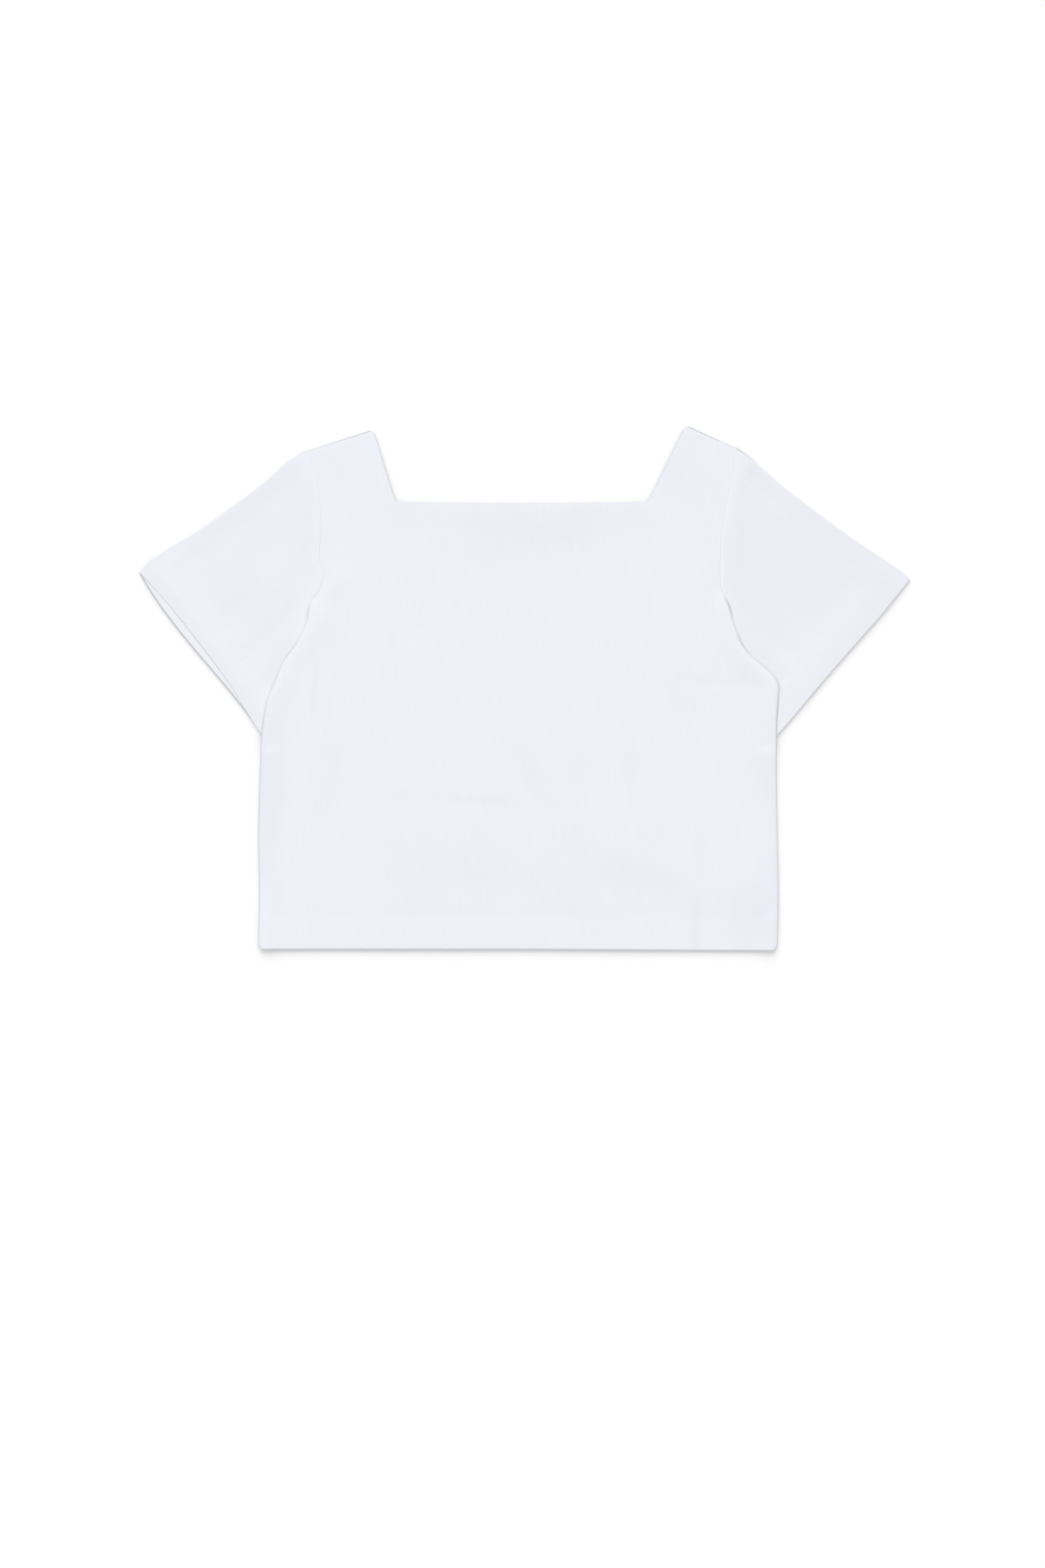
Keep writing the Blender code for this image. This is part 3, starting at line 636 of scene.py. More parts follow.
def edge_gap(x, y):
    """How far apart front and back would be along the side seam, if their edges didn't roll."""
    gap = by_side(x, lambda side: under_front(side, edge_x(side, y), y, np.zeros(np.shape(x))))
    return gap * side_seam(y)


def front_roll(x, y):
    """Inner radius of the front's rolled edge: none where it is sewn edge to edge to the sleeve."""
    top = by_side(x, TUCK_TOP_Y.get)
    return ROLL * ease((top + ROLL_START[0] - y) / ROLL_START[1])


def outer_drop(distance, radius, reach):
    """How far the outer face of a rolled edge falls: a quarter ellipse that ends in a flat rim."""
    inward = np.clip(1 - distance / reach, 0, 1)
    return radius * (1 - np.sqrt(1 - (1 - RIM_SHARE**2) * inward**2))


def inner_drop(distance, reach, roll, wall):
    """How far the inner face of the same edge falls, about the same centre."""
    inward = np.clip((reach - distance) / np.maximum(reach - wall, wall), 0, 1)
    return roll * (1 - np.sqrt(1 - inward**2))


def edge_share(distance, wall, kept=EDGE_KEPT):
    """The part of its thickness that cloth keeps this far from an edge: an ellipse."""
    inward = np.clip(1 - distance / (EDGE_ROUND * wall), 0, 1)
    return np.sqrt(1 - (1 - kept**2) * inward**2)


def front_underside(x, y):
    """Height of the front's lower face, before its edges roll.

    It is the back's cloth, the sleeve's two layers where they are tucked in, and the air between,
    which shrinks towards every edge. Creases and waves take from the air or add to it.
    """
    side_way = from_sides(x, y)
    seam = side_seam(y)
    lifted = by_side(x, lambda side: under_front(side, x, y, side_way))
    neck_way = distance_to(neck_line(0), x, y)
    shoulder_way = from_shoulders(0, x, y)
    sides = ease(side_way / (SIDE_AIR_REACH * (2 - stepped_at(x, y))))
    shoulders = SHOULDER_AIR + (1 - SHOULDER_AIR) * ease(shoulder_way / SHOULDER_AIR_REACH)
    air = AIR + HEM_AIR * (1 - ease((y - HEM_Y) / HEM_AIR_REACH))
    air = air + NECK_AIR * (1 - ease(neck_way / NECK_AIR_REACH)) + hem_hold(y - HEM_Y, HEM_DEPTH)
    soft = creases(FRONT_CREASES, x, y) + waves(x, y)
    soft = soft * ease(np.minimum(side_way, neck_way) / FRONT_CREASE_REACH)
    air = np.maximum(air * sides * shoulders + soft, 0)
    roll = front_roll(x, y)
    rolled = (roll + ROLL * seam) * (1 - ease((side_way - ROLL_LIFT[0]) / ROLL_LIFT[1]))
    welt = SEAM_WELT * (1 - ease(side_way / SEAM_WELT_WIDTH)) * (1 - roll / ROLL)
    return body_wall(y) + GAP + curl(y - HEM_Y) + lifted + air + rolled + welt


def slant_of(height_at, x, y):
    """How much taller a wall is than thick where it slopes."""
    reach = 0.0003
    slope_x = (height_at(x + reach, y) - height_at(x - reach, y)) / (2 * reach)
    slope_y = (height_at(x, y + reach) - height_at(x, y - reach)) / (2 * reach)
    return np.sqrt(1 + slope_x**2 + slope_y**2)


def front_faces(x, y):
    """The front's upper and lower face. It rolls down at the sides and at the shoulders."""
    under = front_underside(x, y)
    wall = body_wall(y)
    rolled = front_roll(x, y) / ROLL
    roll = front_roll(x, y) + edge_gap(x, y) / 2
    radius = roll + wall * (SEWN_EDGE + (1 - SEWN_EDGE) * rolled)
    reach = radius * (1 + (ROLL_SHAPE - 1) * rolled)
    side_way = from_sides(x, y)
    drop = np.maximum(
        outer_drop(side_way, radius, reach), outer_drop(from_shoulders(0, x, y), CLOTH, ROLL_SHAPE * CLOTH)
    )
    groove = stitch_groove(y - HEM_Y, HEM_DEPTH, x)
    top = under + wall * slant_of(front_underside, x, y) - drop - groove
    return top, under - inner_drop(side_way, reach, roll, wall)


def back_faces(x, y):
    """The back's upper and lower face. It rolls up at the side seams, and few creases lift it."""
    wall, seam = body_wall(y), side_seam(y)
    roll = ROLL * seam + edge_gap(x, y) / 2
    side_way = from_sides(x, y)
    radius = wall + roll
    reach = radius * (1 + (ROLL_SHAPE - 1) * seam)
    neck_way = distance_to(neck_line(BACK_NECK_EASE), x, y)
    creased = creases(BACK_CREASES, x, y) * ease(np.minimum(side_way, neck_way) / BACK_CREASE_REACH)
    lift = creased + curl(y - HEM_Y)
    shoulder_way = from_shoulders(BACK_NECK_EASE, x, y)
    rise = np.maximum(outer_drop(side_way, radius, reach), outer_drop(shoulder_way, CLOTH, CLOTH))
    groove = stitch_groove(y - HEM_Y, HEM_DEPTH, x)
    return wall + lift + inner_drop(side_way, reach, roll, wall), lift + np.maximum(rise, groove)


# ---------------- the body's panels


def band(outer, inner, side):
    """Rows of points from the body's edge to the neck column, closer together at both ends."""
    span = np.hypot(*(inner - outer).T)[:, None]
    slant = np.hypot(1, np.gradient(outer[:, 0], outer[:, 1]))[:, None]
    first = EDGE_STEPS[None] * slant / span
    last = 1 - EDGE_STEPS[::-1][None] / span
    spread = np.linspace(0, 1, BAND_COLUMNS)[None, 1:-1]
    shares = np.hstack([first, first[:, -1:] + (last[:, :1] - first[:, -1:]) * spread, last])
    points = outer[:, None] + (inner - outer)[:, None] * shares[..., None]
    return points if side == LEFT else points[:, ::-1]


def panel_plan(widen):
    """Rows of points over a panel, with none in the neckline's notch."""
    neck_y = NECK_Y - widen
    hem_top = HEM_Y + HEM_ROWS * HEM_DEPTH
    heights = np.concatenate(
        [
            stations(HEM_Y, hem_top, HEM_PITCH, EDGE_STEPS, POINT)[:-1],
            stations(hem_top, neck_y, BODY_PITCH, POINT, EDGE_STEPS),
        ]
    )
    straps = stations(0.0, 1.0, STRAP_PITCH, STRAP_START, STRAP_END)[1:]
    bands = []
    for side in (LEFT, RIGHT):
        tip, corner = shoulder_line(side, widen)[1], neck_line(widen)[1 if side == LEFT else 2]
        outer_y = np.concatenate([heights, neck_y + (SHOULDER_Y[side] - neck_y) * straps])
        outer = np.column_stack([edge_x(side, outer_y), outer_y])
        below = np.column_stack([np.full(len(heights), corner[0]), heights])
        inner = np.vstack([below, corner + (tip - corner) * straps[:, None]])
        bands.append(band(outer, inner, side))
    left, right = bands[0][:, -1:], bands[1][:, :1]
    width = right[0, 0, 0] - left[0, 0, 0]
    shares = stations(0.0, 1.0, 1 / MIDDLE_COLUMNS, EDGE_STEPS / width, EDGE_STEPS / width)[1:-1]
    middle = left + (right - left) * shares[None, :, None]
    middle[len(heights) :] = np.nan
    return np.concatenate([bands[0], middle, bands[1]], axis=1)


def settle(x, y):
    """Moves a flat point as the cloth has settled: softened corners, a sagging hem and neckline."""
    dx, dy = np.zeros(np.shape(x)), np.zeros(np.shape(x))
    for cx, cy, towards_x, towards_y, push, reach in CORNERS:
        bump = push * np.clip(1 - ((x - cx) ** 2 + (y - cy) ** 2) / reach**2, 0, 1) ** 2
        dx, dy = dx + towards_x * bump, dy + towards_y * bump
    sag = HEM_SAG * ease((x - HEM_SAG_SPAN[0]) / HEM_SAG_SPAN[1])
    dy = dy - sag * ease((HEM_Y + HEM_SAG_FADE - y) / HEM_SAG_FADE)
    middle = (NECK_CORNER_X[LEFT] + NECK_CORNER_X[RIGHT]) / 2
    across = np.clip(1 - ((x - middle) / (NECK_CORNER_X[RIGHT] - middle)) ** 2, 0, 1)
    dy = dy - NECK_SAG * across * np.exp(-np.abs(y - NECK_Y) / NECK_SAG_FADE)
    return x + dx, y + dy


def grid_cells(rows, columns, closed):
    """The four corners of each cell of a grid, which is closed round into a ring or is not."""
    across = columns if closed else columns - 1
    i, j = np.meshgrid(np.arange(rows - 1), np.arange(across), indexing="ij")
    right = (j + 1) % columns
    corners = [i * columns + j, i * columns + right, (i + 1) * columns + right, (i + 1) * columns + j]
    return np.stack(corners, axis=-1).reshape(-1, 4)


def panel(widen, faces_at, shading_marks, tints):
    """The outer and inner points of a panel, its cells, its flat pattern, its painted shading and its
    tint.
    """
    plan = panel_plan(widen)
    cells = grid_cells(plan.shape[0], plan.shape[1], False)
    plan = plan.reshape(-1, 2)
    kept = np.isfinite(plan[:, 0])
    cells = (np.cumsum(kept) - 1)[cells[kept[cells].all(axis=1)]]
    x, y = plan[kept].T
    top, bottom = faces_at(x, y)
    hem = np.array([(edge_x(LEFT, HEM_Y), HEM_Y), (edge_x(RIGHT, HEM_Y), HEM_Y)])
    free = np.minimum(distance_to(neck_line(widen), x, y), distance_to(hem, x, y))
    middle, half = (top + bottom) / 2, (top - bottom) / 2 * edge_share(free, body_wall(y))
    px, py = settle(x, y)
    upper = np.column_stack([px, py, middle + half])
    lower = np.column_stack([px, py, middle - half])
    neck = neck_line(widen)
    # Painted shade along the edges, the folds under the arms, the shoulders, neck and hem, and painted
    # highlight along the armhole seams
    over_sleeve = stepped_at(x, y)
    side_shade = by_side(x, LOBE_SHADE.get) * over_sleeve
    side_shade = side_shade + (SIDE_SHADE - side_shade) * ease(-y / LOBE_FADE)
    side_way = from_sides(x, y)
    shade = edge_shade(side_shade, side_way)
    for side, height, half, dark in EDGE_FOLDS:
        fold = dark * np.clip(1 - ((y - height) / half) ** 2, 0, 1) * (side * x > 0)
        shade = shade + fold * np.clip(1 - side_way / EDGE_FOLD_REACH, 0, 1)
    light = by_side(x, lambda side: seam_light(side, 0, side_way))
    shade = shade - light * (1 - over_sleeve)
    for strength, distance in (
        (SHOULDER_SHADE, from_shoulders(widen, x, y)),
        (STRAP_SHADE[LEFT], distance_to(neck[:2], x, y)),
        (STRAP_SHADE[RIGHT], distance_to(neck[2:], x, y)),
        (NECK_SHADE, distance_to(neck[1:3], x, y)),
        (HEM_SHADE, distance_to(hem, x, y)),
    ):
        shade = np.maximum(shade, edge_shade(strength, distance))
    shading, tint = creases(shading_marks, x, y) - shade, creases(tints, x, y)
    return upper, lower, cells, np.column_stack([x, y]), shading, tint


# ---------------- the sleeves


def sleeve_plan(side, layer, a, b):
    """A ruled surface: b runs down the armhole and the cuff, a from the armhole to the cuff."""
    shoulder, foot = SHOULDER_Y[side], UNDERARM[side][1]
    armhole_y = shoulder + (foot - shoulder) * b
    armhole = np.stack([sleeve_end_x(side, armhole_y), armhole_y], axis=-1)
    top, low = np.array(CUFF_TOP[side]), np.array(CUFF_FOOT[side])
    outward = np.array([side * (top - low)[1], side * (low - top)[0]]) / np.hypot(*(top - low))
    bow = smooth_through(b, CUFF_EDGES[:, 0], CUFF_EDGES[:, CUFF_COLUMN[side, layer]])
    cuff = top + (low - top) * b[..., None] + outward * bow[..., None]
    rise = smooth_through(a, TOP_BOW[:, 0], TOP_BOW[:, 1 if side == LEFT else 2]) * (1 - b) ** 2
    return armhole + (cuff - armhole) * a[..., None] + np.stack([0 * rise, rise], axis=-1)


def sleeve_lengths(side, b):
    """The length of each ruling, and how much longer it is than it is far from the cuff."""
    armhole = sleeve_plan(side, "lower", 0 * b, b)
    length = np.hypot(*(sleeve_plan(side, "lower", 0 * b + 1, b) - armhole).T).T
    return length, length / cuff_distance(side, armhole[..., 0], armhole[..., 1])


def sleeve_width(side, a):
    """From the top fold to the underarm seam, at this share of the way to the cuff."""
    ends = np.array([0.0, 1.0])
    run = sleeve_plan(side, "lower", ends, 0 * ends + 1) - sleeve_plan(side, "lower", ends, 0 * ends)
    width = np.hypot(*run.T)
    return width[0] + (width[1] - width[0]) * a


def fold_air(a):
    """How far the layers stand apart at the top fold: nothing at the armhole, less at the cuff."""
    part, start, length = FOLD_AIR_FALL
    return FOLD_AIR * ease(a / FOLD_AIR_RISE) * (1 - part * ease((a - start) / length))


def sleeve_layers(side, x, y, a, b):
    """Heights of a sleeve's faces: lower layer's under and upper face, then the upper layer's.

    The upper layer lies on the lower one. Air, creases and waves lift it, the seam allowance
    raises a strip along the armhole, and the stitches pull both layers in.
    """
    width = sleeve_width(side, a)
    from_top, from_underarm = b * width, (1 - b) * width
    length, slant = sleeve_lengths(side, np.clip(b, 0, 1))
    from_armhole, from_cuff = a * length, (1 - a) * length / slant
    wall = cuff_wall(side, from_cuff)
    over = over_back(side, x, y)
    inside = ease(from_top / LAYER_EASE) * ease(from_underarm / LAYER_EASE)
    on_floor = inside * (1 - over)
    air = fold_air(a) * (1 - ease(from_top / FOLD_AIR_REACH))
    air = air + UNDERARM_AIR * (1 - ease(from_underarm / FOLD_AIR_REACH))
    soft = SLEEVE_AIR * (4 * b * (1 - b)) * (1 - CUFF_AIR_LESS * a) + waves(x, y)
    soft = soft + creases(SLEEVE_CREASES[side], x, y)
    air = air + np.maximum(soft, 0) * on_floor * ease(from_armhole / ARMHOLE_EASE)
    air = air + hem_hold(from_cuff, CUFF_DEPTH[side]) * on_floor
    rise, fall = SEAM_RIDGE_EASES
    ridge = ease(from_armhole / rise) * (1 - ease((from_armhole - SEAM_RIDGE_WIDTH) / fall))
    ridge = SEAM_RIDGE * ridge * (1 - tucked(y)) * ease(from_top / SEAM_RIDGE_TOP)
    groove = stitch_groove(from_cuff, CUFF_DEPTH[side], from_top) * inside
    rest = (CLOTH + GAP) * over + curl(from_cuff, CUFF_CURL) * on_floor
    upper = rest + wall + GAP + air + ridge
    return rest + groove, rest + wall, upper, upper + wall - groove


def sleeve_ring(side):
    """Once round the tube: each point's share down the armhole, its turn and its fold.

    The turn is 0 on the upper layer and half a circle on the lower one. The fold is 1 along the
    top, -1 under the arm and 0 between them.
    """
    reach = SHOULDER_Y[side] - UNDERARM[side][1]
    down = stations(0.0, 1.0, SLEEVE_PITCH / reach, FOLD_STEPS, FOLD_STEPS)[1:-1]
    flat, folds = np.zeros(len(down)), np.ones(len(FOLD_TURNS))
    share = np.concatenate([[0], down, folds, down[::-1], 0 * folds[1:]])
    turn = np.concatenate([[0], flat, FOLD_TURNS, flat + np.pi, FOLD_TURNS[:0:-1]])
    fold = np.concatenate([[1], flat, -folds, flat, folds[1:]])
    return share, turn, fold


def sleeve_rows(side, share):
    """How far along its ruling each row lies: closer together at the armhole, hem line and cuff."""
    length, slant = sleeve_lengths(side, share)
    depth = CUFF_DEPTH[side]
    start = EDGE_STEPS[:-1, None] + 0 * length
    from_cuff = stations(0.0, CUFF_ROWS * depth, HEM_PITCH, EDGE_STEPS, POINT)[::-1]
    end = length - slant * from_cuff[:, None]
    count = int(round((length.max() - CUFF_ROWS_LEFT_OUT * depth) / SLEEVE_PITCH))
    inside = start[-1] + (end[0] - start[-1]) * np.linspace(0, 1, count)[1:-1, None]
    return np.vstack([start, inside, end]), length


def sleeve_face(side, is_outer, a, ring):
    """The tube's outer or inner face: two layers joined by a half circle at each fold."""
    share, turn, fold = ring
    width = sleeve_width(side, a)
    is_upper = turn <= np.pi / 2
    b = share + 0 * a
    for _ in range(FOLD_ROUNDS):
        lower, upper = sleeve_plan(side, "lower", a, b), sleeve_plan(side, "upper", a, b)
        place = np.where(is_upper[:, None], upper, lower)
        x, y = place[..., 0], place[..., 1]
        faces = sleeve_layers(side, x, y, a, b)
        wall = faces[1] - (CLOTH + GAP) * over_back(side, x, y)
        radius = wall + (GAP + np.where(fold > 0, fold_air(a), UNDERARM_AIR)) / 2
        curve = radius if is_outer else radius - wall
        inset = (radius - curve * np.sin(turn)) / width
        b = np.where(fold > 0, inset, np.where(fold < 0, 1 - inset, share))
    flat = np.where(is_upper, faces[3], faces[0]) if is_outer else np.where(is_upper, faces[2], faces[1])
    folded = faces[1] - wall + radius + curve * np.cos(turn)
    return np.stack([x, y, np.where(fold == 0, flat, folded)], axis=-1)


def sleeve(side):
    """A flattened ring carried from the armhole to the cuff, thinner at its two open ends.

    On one side the upper layer is also pressed thinner towards the cuff's edge, from above only.
    """
    ring = sleeve_ring(side)
    along, length = sleeve_rows(side, ring[0])
    outer, inner = (sleeve_face(side, is_outer, along / length, ring) for is_outer in (True, False))
    middle, half = (outer + inner) / 2, (outer - inner) / 2
    wall = cuff_wall(side, (length - along) / sleeve_lengths(side, ring[0])[1])
    turned_down = np.sin(ring[1] / 2) ** 2
    from_rim = length - along
    pressed = 1 - PRESSED[side] * (1 - turned_down) * np.clip(1 - from_rim / PRESSED_REACH, 0, 1)
    middle = middle - half * (1 - pressed)[..., None]
    kept = edge_share(along, wall, SEWN_KEPT) * edge_share(from_rim, wall * pressed) * pressed
    half = half * kept[..., None]
    halfway = outer[len(outer) // 2, :, :2]
    round_it = np.concatenate([[0], np.cumsum(np.hypot(*np.diff(halfway, axis=0).T))])
    pattern = np.stack([round_it + 0 * along, along], axis=-1).reshape(-1, 2)
    cells = grid_cells(*along.shape, True)
    # Painted shade on the lower cuff's rim, the folds' turned-down sides and the top fold by the shoulder,
    # and painted highlight along the armhole seam
    shade = edge_shade(LOWER_CUFF_SHADE * turned_down, from_rim)
    shade = np.maximum(shade, FOLD_SHADE * turned_down * (ring[2] != 0))
    head = HEAD_SHADE[side] * (1 - ease(along / HEAD_REACH[side]))
    shade = np.maximum(shade, head * np.sin(ring[1]) * (ring[2] > 0))
    light = seam_light(side, 1, along) * (1 - stepped(side, middle[..., 1]))
    shading = (creases(SLEEVE_PAINTED_SHADING, middle[..., 0], middle[..., 1]) + light) * (ring[1] == 0) - shade
    from_cuff = cuff_distance(side, middle[..., 0], middle[..., 1])
    tint = ease((from_cuff - CUFF_TINT_EASE[0]) / (CUFF_TINT_EASE[1] - CUFF_TINT_EASE[0]))
    tint = tint * ease((along - ARMHOLE_TINT_EASE[0]) / (ARMHOLE_TINT_EASE[1] - ARMHOLE_TINT_EASE[0]))
    outer, inner = (middle + half).reshape(-1, 3), (middle - half).reshape(-1, 3)
    return outer, inner, cells, pattern, shading.ravel(), tint.ravel()


# ---------------- meshes


def wall_faces(cells, count):
    """The faces of a wall: the outer cells, the inner ones turned over, and a rim at each open edge."""
    edges = np.concatenate([cells[:, [k, (k + 1) % 4]] for k in range(4)])
    codes = edges[:, 0] * count + edges[:, 1]
    rim = edges[~np.isin(codes, edges[:, 1] * count + edges[:, 0])]
    rims = np.column_stack([rim[:, 0] + count, rim[:, 1] + count, rim[:, 1], rim[:, 0]])
    return np.vstack([cells, cells[:, ::-1] + count, rims])


def signed_volume(points, faces):
    """Six times the volume inside the faces: more than 0 if they all face outwards."""
    a, b, c, d = (points[faces[:, k]] for k in range(4))
    return (np.einsum("ij,ij->i", a, np.cross(b, c)) + np.einsum("ij,ij->i", a, np.cross(c, d))).sum()


def placed(name, data):
    """A new object in the scene, at the origin."""
    thing = bpy.data.objects.new(name, data)
    bpy.context.scene.collection.objects.link(thing)
    return thing


def mesh_piece(name, points, faces, pattern, shading_and_tint, material):
    """A piece from its points and faces, its flat pattern as the map Cloth, and its named attributes:
    painted shading and tint.
    """
    if signed_volume(points, faces) < 0:
        faces = faces[:, ::-1]
    mesh = bpy.data.meshes.new(name)
    mesh.from_pydata(points.tolist(), [], faces.tolist())
    mesh.shade_smooth()
    mesh.uv_layers.new(name="Cloth").data.foreach_set("uv", pattern[faces.ravel()].ravel())
    for channel_name, values in shading_and_tint.items():
        attribute = mesh.attributes.new(channel_name, "FLOAT", "POINT")
        attribute.data.foreach_set("value", values.astype(np.float32))
    mesh.materials.append(material)
    piece = placed(name, mesh)
    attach(piece, "root")
    return piece


def cloth_piece(name, node, shell, material):
    """One cut piece as a closed thin shell, in place of its plain solid."""
    outer, inner, cells, pattern, shading, tint = shell
    points, faces = np.vstack([outer, inner]), wall_faces(cells, len(outer))
    # Painted shading and tint, one value a point, the same on both faces
    shading_and_tint = {"PaintedShading": np.tile(shading, 2), "Tint": np.tile(tint, 2)}
    piece = mesh_piece(name, points, faces, np.tile(pattern, (2, 1)), shading_and_tint, material)
    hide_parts(node)
    return piece


# ---------------- sewing

STITCH_PITCH = 0.0029
STITCH_LENGTH = 0.0025
THREAD = 0.00034
THREAD_SUNK = THREAD / 5  # how deep a stitch lies in the cloth
ROW_MARGIN = 0.002  # a hem's rows end this far from the side edges
HEM_ROW_POINTS = 400
CUFF_ROW = (0.02, 0.985)  # shares of the cuff between which its rows run
CUFF_ROW_POINTS = 300
STITCH_RINGS = np.radians((-80, -45, 0, 45, 80))
STITCH_SIDES = np.radians(np.arange(0, 360, 60))


def stitches(path, normal_z):
    """A row of stitches along a path of points.

    Each is a spindle: its rings lie at half the stitch times the sine of an angle from its middle,
    and their radius is half the thread times the square root of the cosine.
    """
    run = np.linalg.norm(np.diff(path, axis=0), axis=1)
    at = np.concatenate([[0], np.cumsum(run)])
    centres_at = np.arange(STITCH_PITCH, at[-1] - STITCH_PITCH, STITCH_PITCH)
    spots = [
        np.column_stack([np.interp(centres_at + half, at, path[:, k]) for k in range(3)])
        for half in (-STITCH_LENGTH / 2, 0, STITCH_LENGTH / 2)
    ]
    tangent = spots[2] - spots[0]
    tangent /= np.linalg.norm(tangent, axis=1)[:, None]
    up = np.array((0.0, 0.0, normal_z))
    across = np.cross(tangent, up)
    lift = np.cross(across, tangent)
    along = STITCH_LENGTH / 2 * np.sin(STITCH_RINGS) / np.sin(STITCH_RINGS[-1])
    radius = THREAD / 2 * np.sqrt(np.cos(STITCH_RINGS))
    sides = across[:, None] * np.cos(STITCH_SIDES)[:, None] + lift[:, None] * np.sin(STITCH_SIDES)[:, None]
    points = spots[1][:, None, None] + tangent[:, None, None] * along[None, :, None, None]
    points = points + sides[:, None] * radius[None, :, None, None]
    rings, turns = len(STITCH_RINGS), len(STITCH_SIDES)
    cells = grid_cells(rings, turns, True)
    caps = np.array([(0, 1, 2, 3), (0, 3, 4, 5)])
    caps = np.vstack([caps, caps[:, ::-1] + (rings - 1) * turns])
    one = np.vstack([cells[:, ::-1], caps[:, ::-1]])
    faces = one[None] + (np.arange(len(points)) * rings * turns)[:, None, None]
    return points.reshape(-1, 3), faces.reshape(-1, 4)


def sewn_piece(name, paths, normal_z, material):
    """All the stitches of one hem as one mesh."""
    points, faces, count = [], [], 0
    for path in paths:
        row_points, row_faces = stitches(path, normal_z)
        points.append(row_points)
        faces.append(row_faces + count)
        count += len(row_points)
    points, faces = np.vstack(points), np.vstack(faces)
    return mesh_piece(name, points, faces, points[:, :2].copy(), {}, material)


def row_height(upper, lower, top):
    """The height of a row: sunk in the upper face, or in the lower one but not into the floor."""
    return upper - THREAD_SUNK if top else np.maximum(lower + THREAD_SUNK, THREAD / 2)


def hem_paths(faces_at, top):
    """The two rows along a panel's hem, on its outer face."""
    paths = []
    for inset, _, _ in STITCH_ROWS:
        y = HEM_Y + HEM_DEPTH - inset
        x = np.linspace(edge_x(LEFT, y) + ROW_MARGIN, edge_x(RIGHT, y) - ROW_MARGIN, HEM_ROW_POINTS)
        y = np.full(len(x), y)
        paths.append(np.column_stack([*settle(x, y), row_height(*faces_at(x, y), top)]))
    return paths


def cuff_paths(side, top):
    """The two rows round a cuff, on one layer's outer face."""
    paths = []
    layer = "upper" if top else "lower"
    b = np.linspace(*CUFF_ROW, CUFF_ROW_POINTS)
    length, slant = sleeve_lengths(side, b)
    for inset, _, _ in STITCH_ROWS:
        a = 1 - slant * (CUFF_DEPTH[side] - inset) / length
        x, y = sleeve_plan(side, layer, a, b).T
        faces = sleeve_layers(side, x, y, a, b)
        paths.append(np.column_stack([x, y, row_height(faces[3], faces[0], top)]))
    return paths


# ---------------- materials

WALE = 0.00072  # one column of knit stitches
COURSE = 0.00056  # one row of them
LEG_SLANT = 0.6  # the part of a course that a leg rises from its wale's middle to its side
LOOP_DEPTH = 0.3  # how much of a leg's height changes along it, up and down


class Nodes:
    """Short calls for a material's nodes. Most make one node and return its output."""

    def __init__(self, material):
        material.use_nodes = True
        self.tree = material.node_tree
        self.shader = self.tree.nodes["Principled BSDF"]

    def put(self, value, socket):
        """Links an output to a socket, or sets the socket to a plain value."""
        if isinstance(value, bpy.types.NodeSocket):
            self.tree.links.new(value, socket)
        else:
            socket.default_value = value

    def make(self, kind, inputs, output=0, **settings):
        """A node of a kind, with its settings and its inputs."""
        node = self.tree.nodes.new(kind)
        for key, value in settings.items():
            setattr(node, key, value)
        for key, value in inputs.items():
            self.put(value, node.inputs[key])
        return node.outputs[output]

    def constants(self, values):
        """Sets the shader's own sockets to plain values."""
        for key, value in values.items():
            self.shader.inputs[key].default_value = value

    def math(self, operation, first, second=0.0, third=0.0):
        """One step of arithmetic."""
        return self.make("ShaderNodeMath", {0: first, 1: second, 2: third}, operation=operation)

    def noise(self, vector, scale, detail=2.0):
        """Soft noise, its scale in waves a unit of the vector."""
        return self.make("ShaderNodeTexNoise", {"Vector": vector, "Scale": scale, "Detail": detail})

    def range(self, value, low, high):
        """Maps 0.25..0.75, where noise mostly lies, to low..high."""
        names = {"Value": value, "From Min": 0.25, "From Max": 0.75, "To Min": low, "To Max": high}
        return self.make("ShaderNodeMapRange", names)

    def tint(self, colour, shade):
        """The base colour, times a shade."""
        grey = self.make("ShaderNodeCombineColor", {0: shade, 1: shade, 2: shade})
        inputs = {"Factor": 1.0, 6: colour, 7: grey}
        mixed = self.make("ShaderNodeMix", inputs, 2, data_type="RGBA", blend_type="MULTIPLY")
        self.put(mixed, self.shader.inputs["Base Color"])

    def bump(self, height, distance, strength, normal=None):
        """A bump of a height map, over another one if its normal is given."""
        inputs = {"Height": height, "Distance": distance, "Strength": strength}
        if normal is not None:
            inputs["Normal"] = normal
        return self.make("ShaderNodeBump", inputs)


def knit_height(nodes, cloth):
    """The height of plain knit: each wale is two legs that slant to its middle, one V a course."""
    parts = nodes.tree.nodes.new("ShaderNodeSeparateXYZ")
    nodes.tree.links.new(cloth, parts.inputs[0])
    wales = nodes.math("MULTIPLY", parts.outputs[0], 1 / WALE)
    courses = nodes.math("MULTIPLY", parts.outputs[1], 1 / COURSE)
    off_middle = nodes.math("SUBTRACT", nodes.math("FRACT", wales), 0.5)
    off_middle = nodes.math("MULTIPLY", nodes.math("ABSOLUTE", off_middle), 2.0)
    leg = nodes.math("SINE", nodes.math("MULTIPLY", off_middle, math.pi))
    slanted = nodes.math("MULTIPLY_ADD", off_middle, LEG_SLANT, courses)
    loop = nodes.math("COSINE", nodes.math("MULTIPLY", slanted, 2 * math.pi))
    loop = nodes.math("MULTIPLY_ADD", loop, LOOP_DEPTH, 1 - LOOP_DEPTH)
    return nodes.math("MULTIPLY", leg, loop)


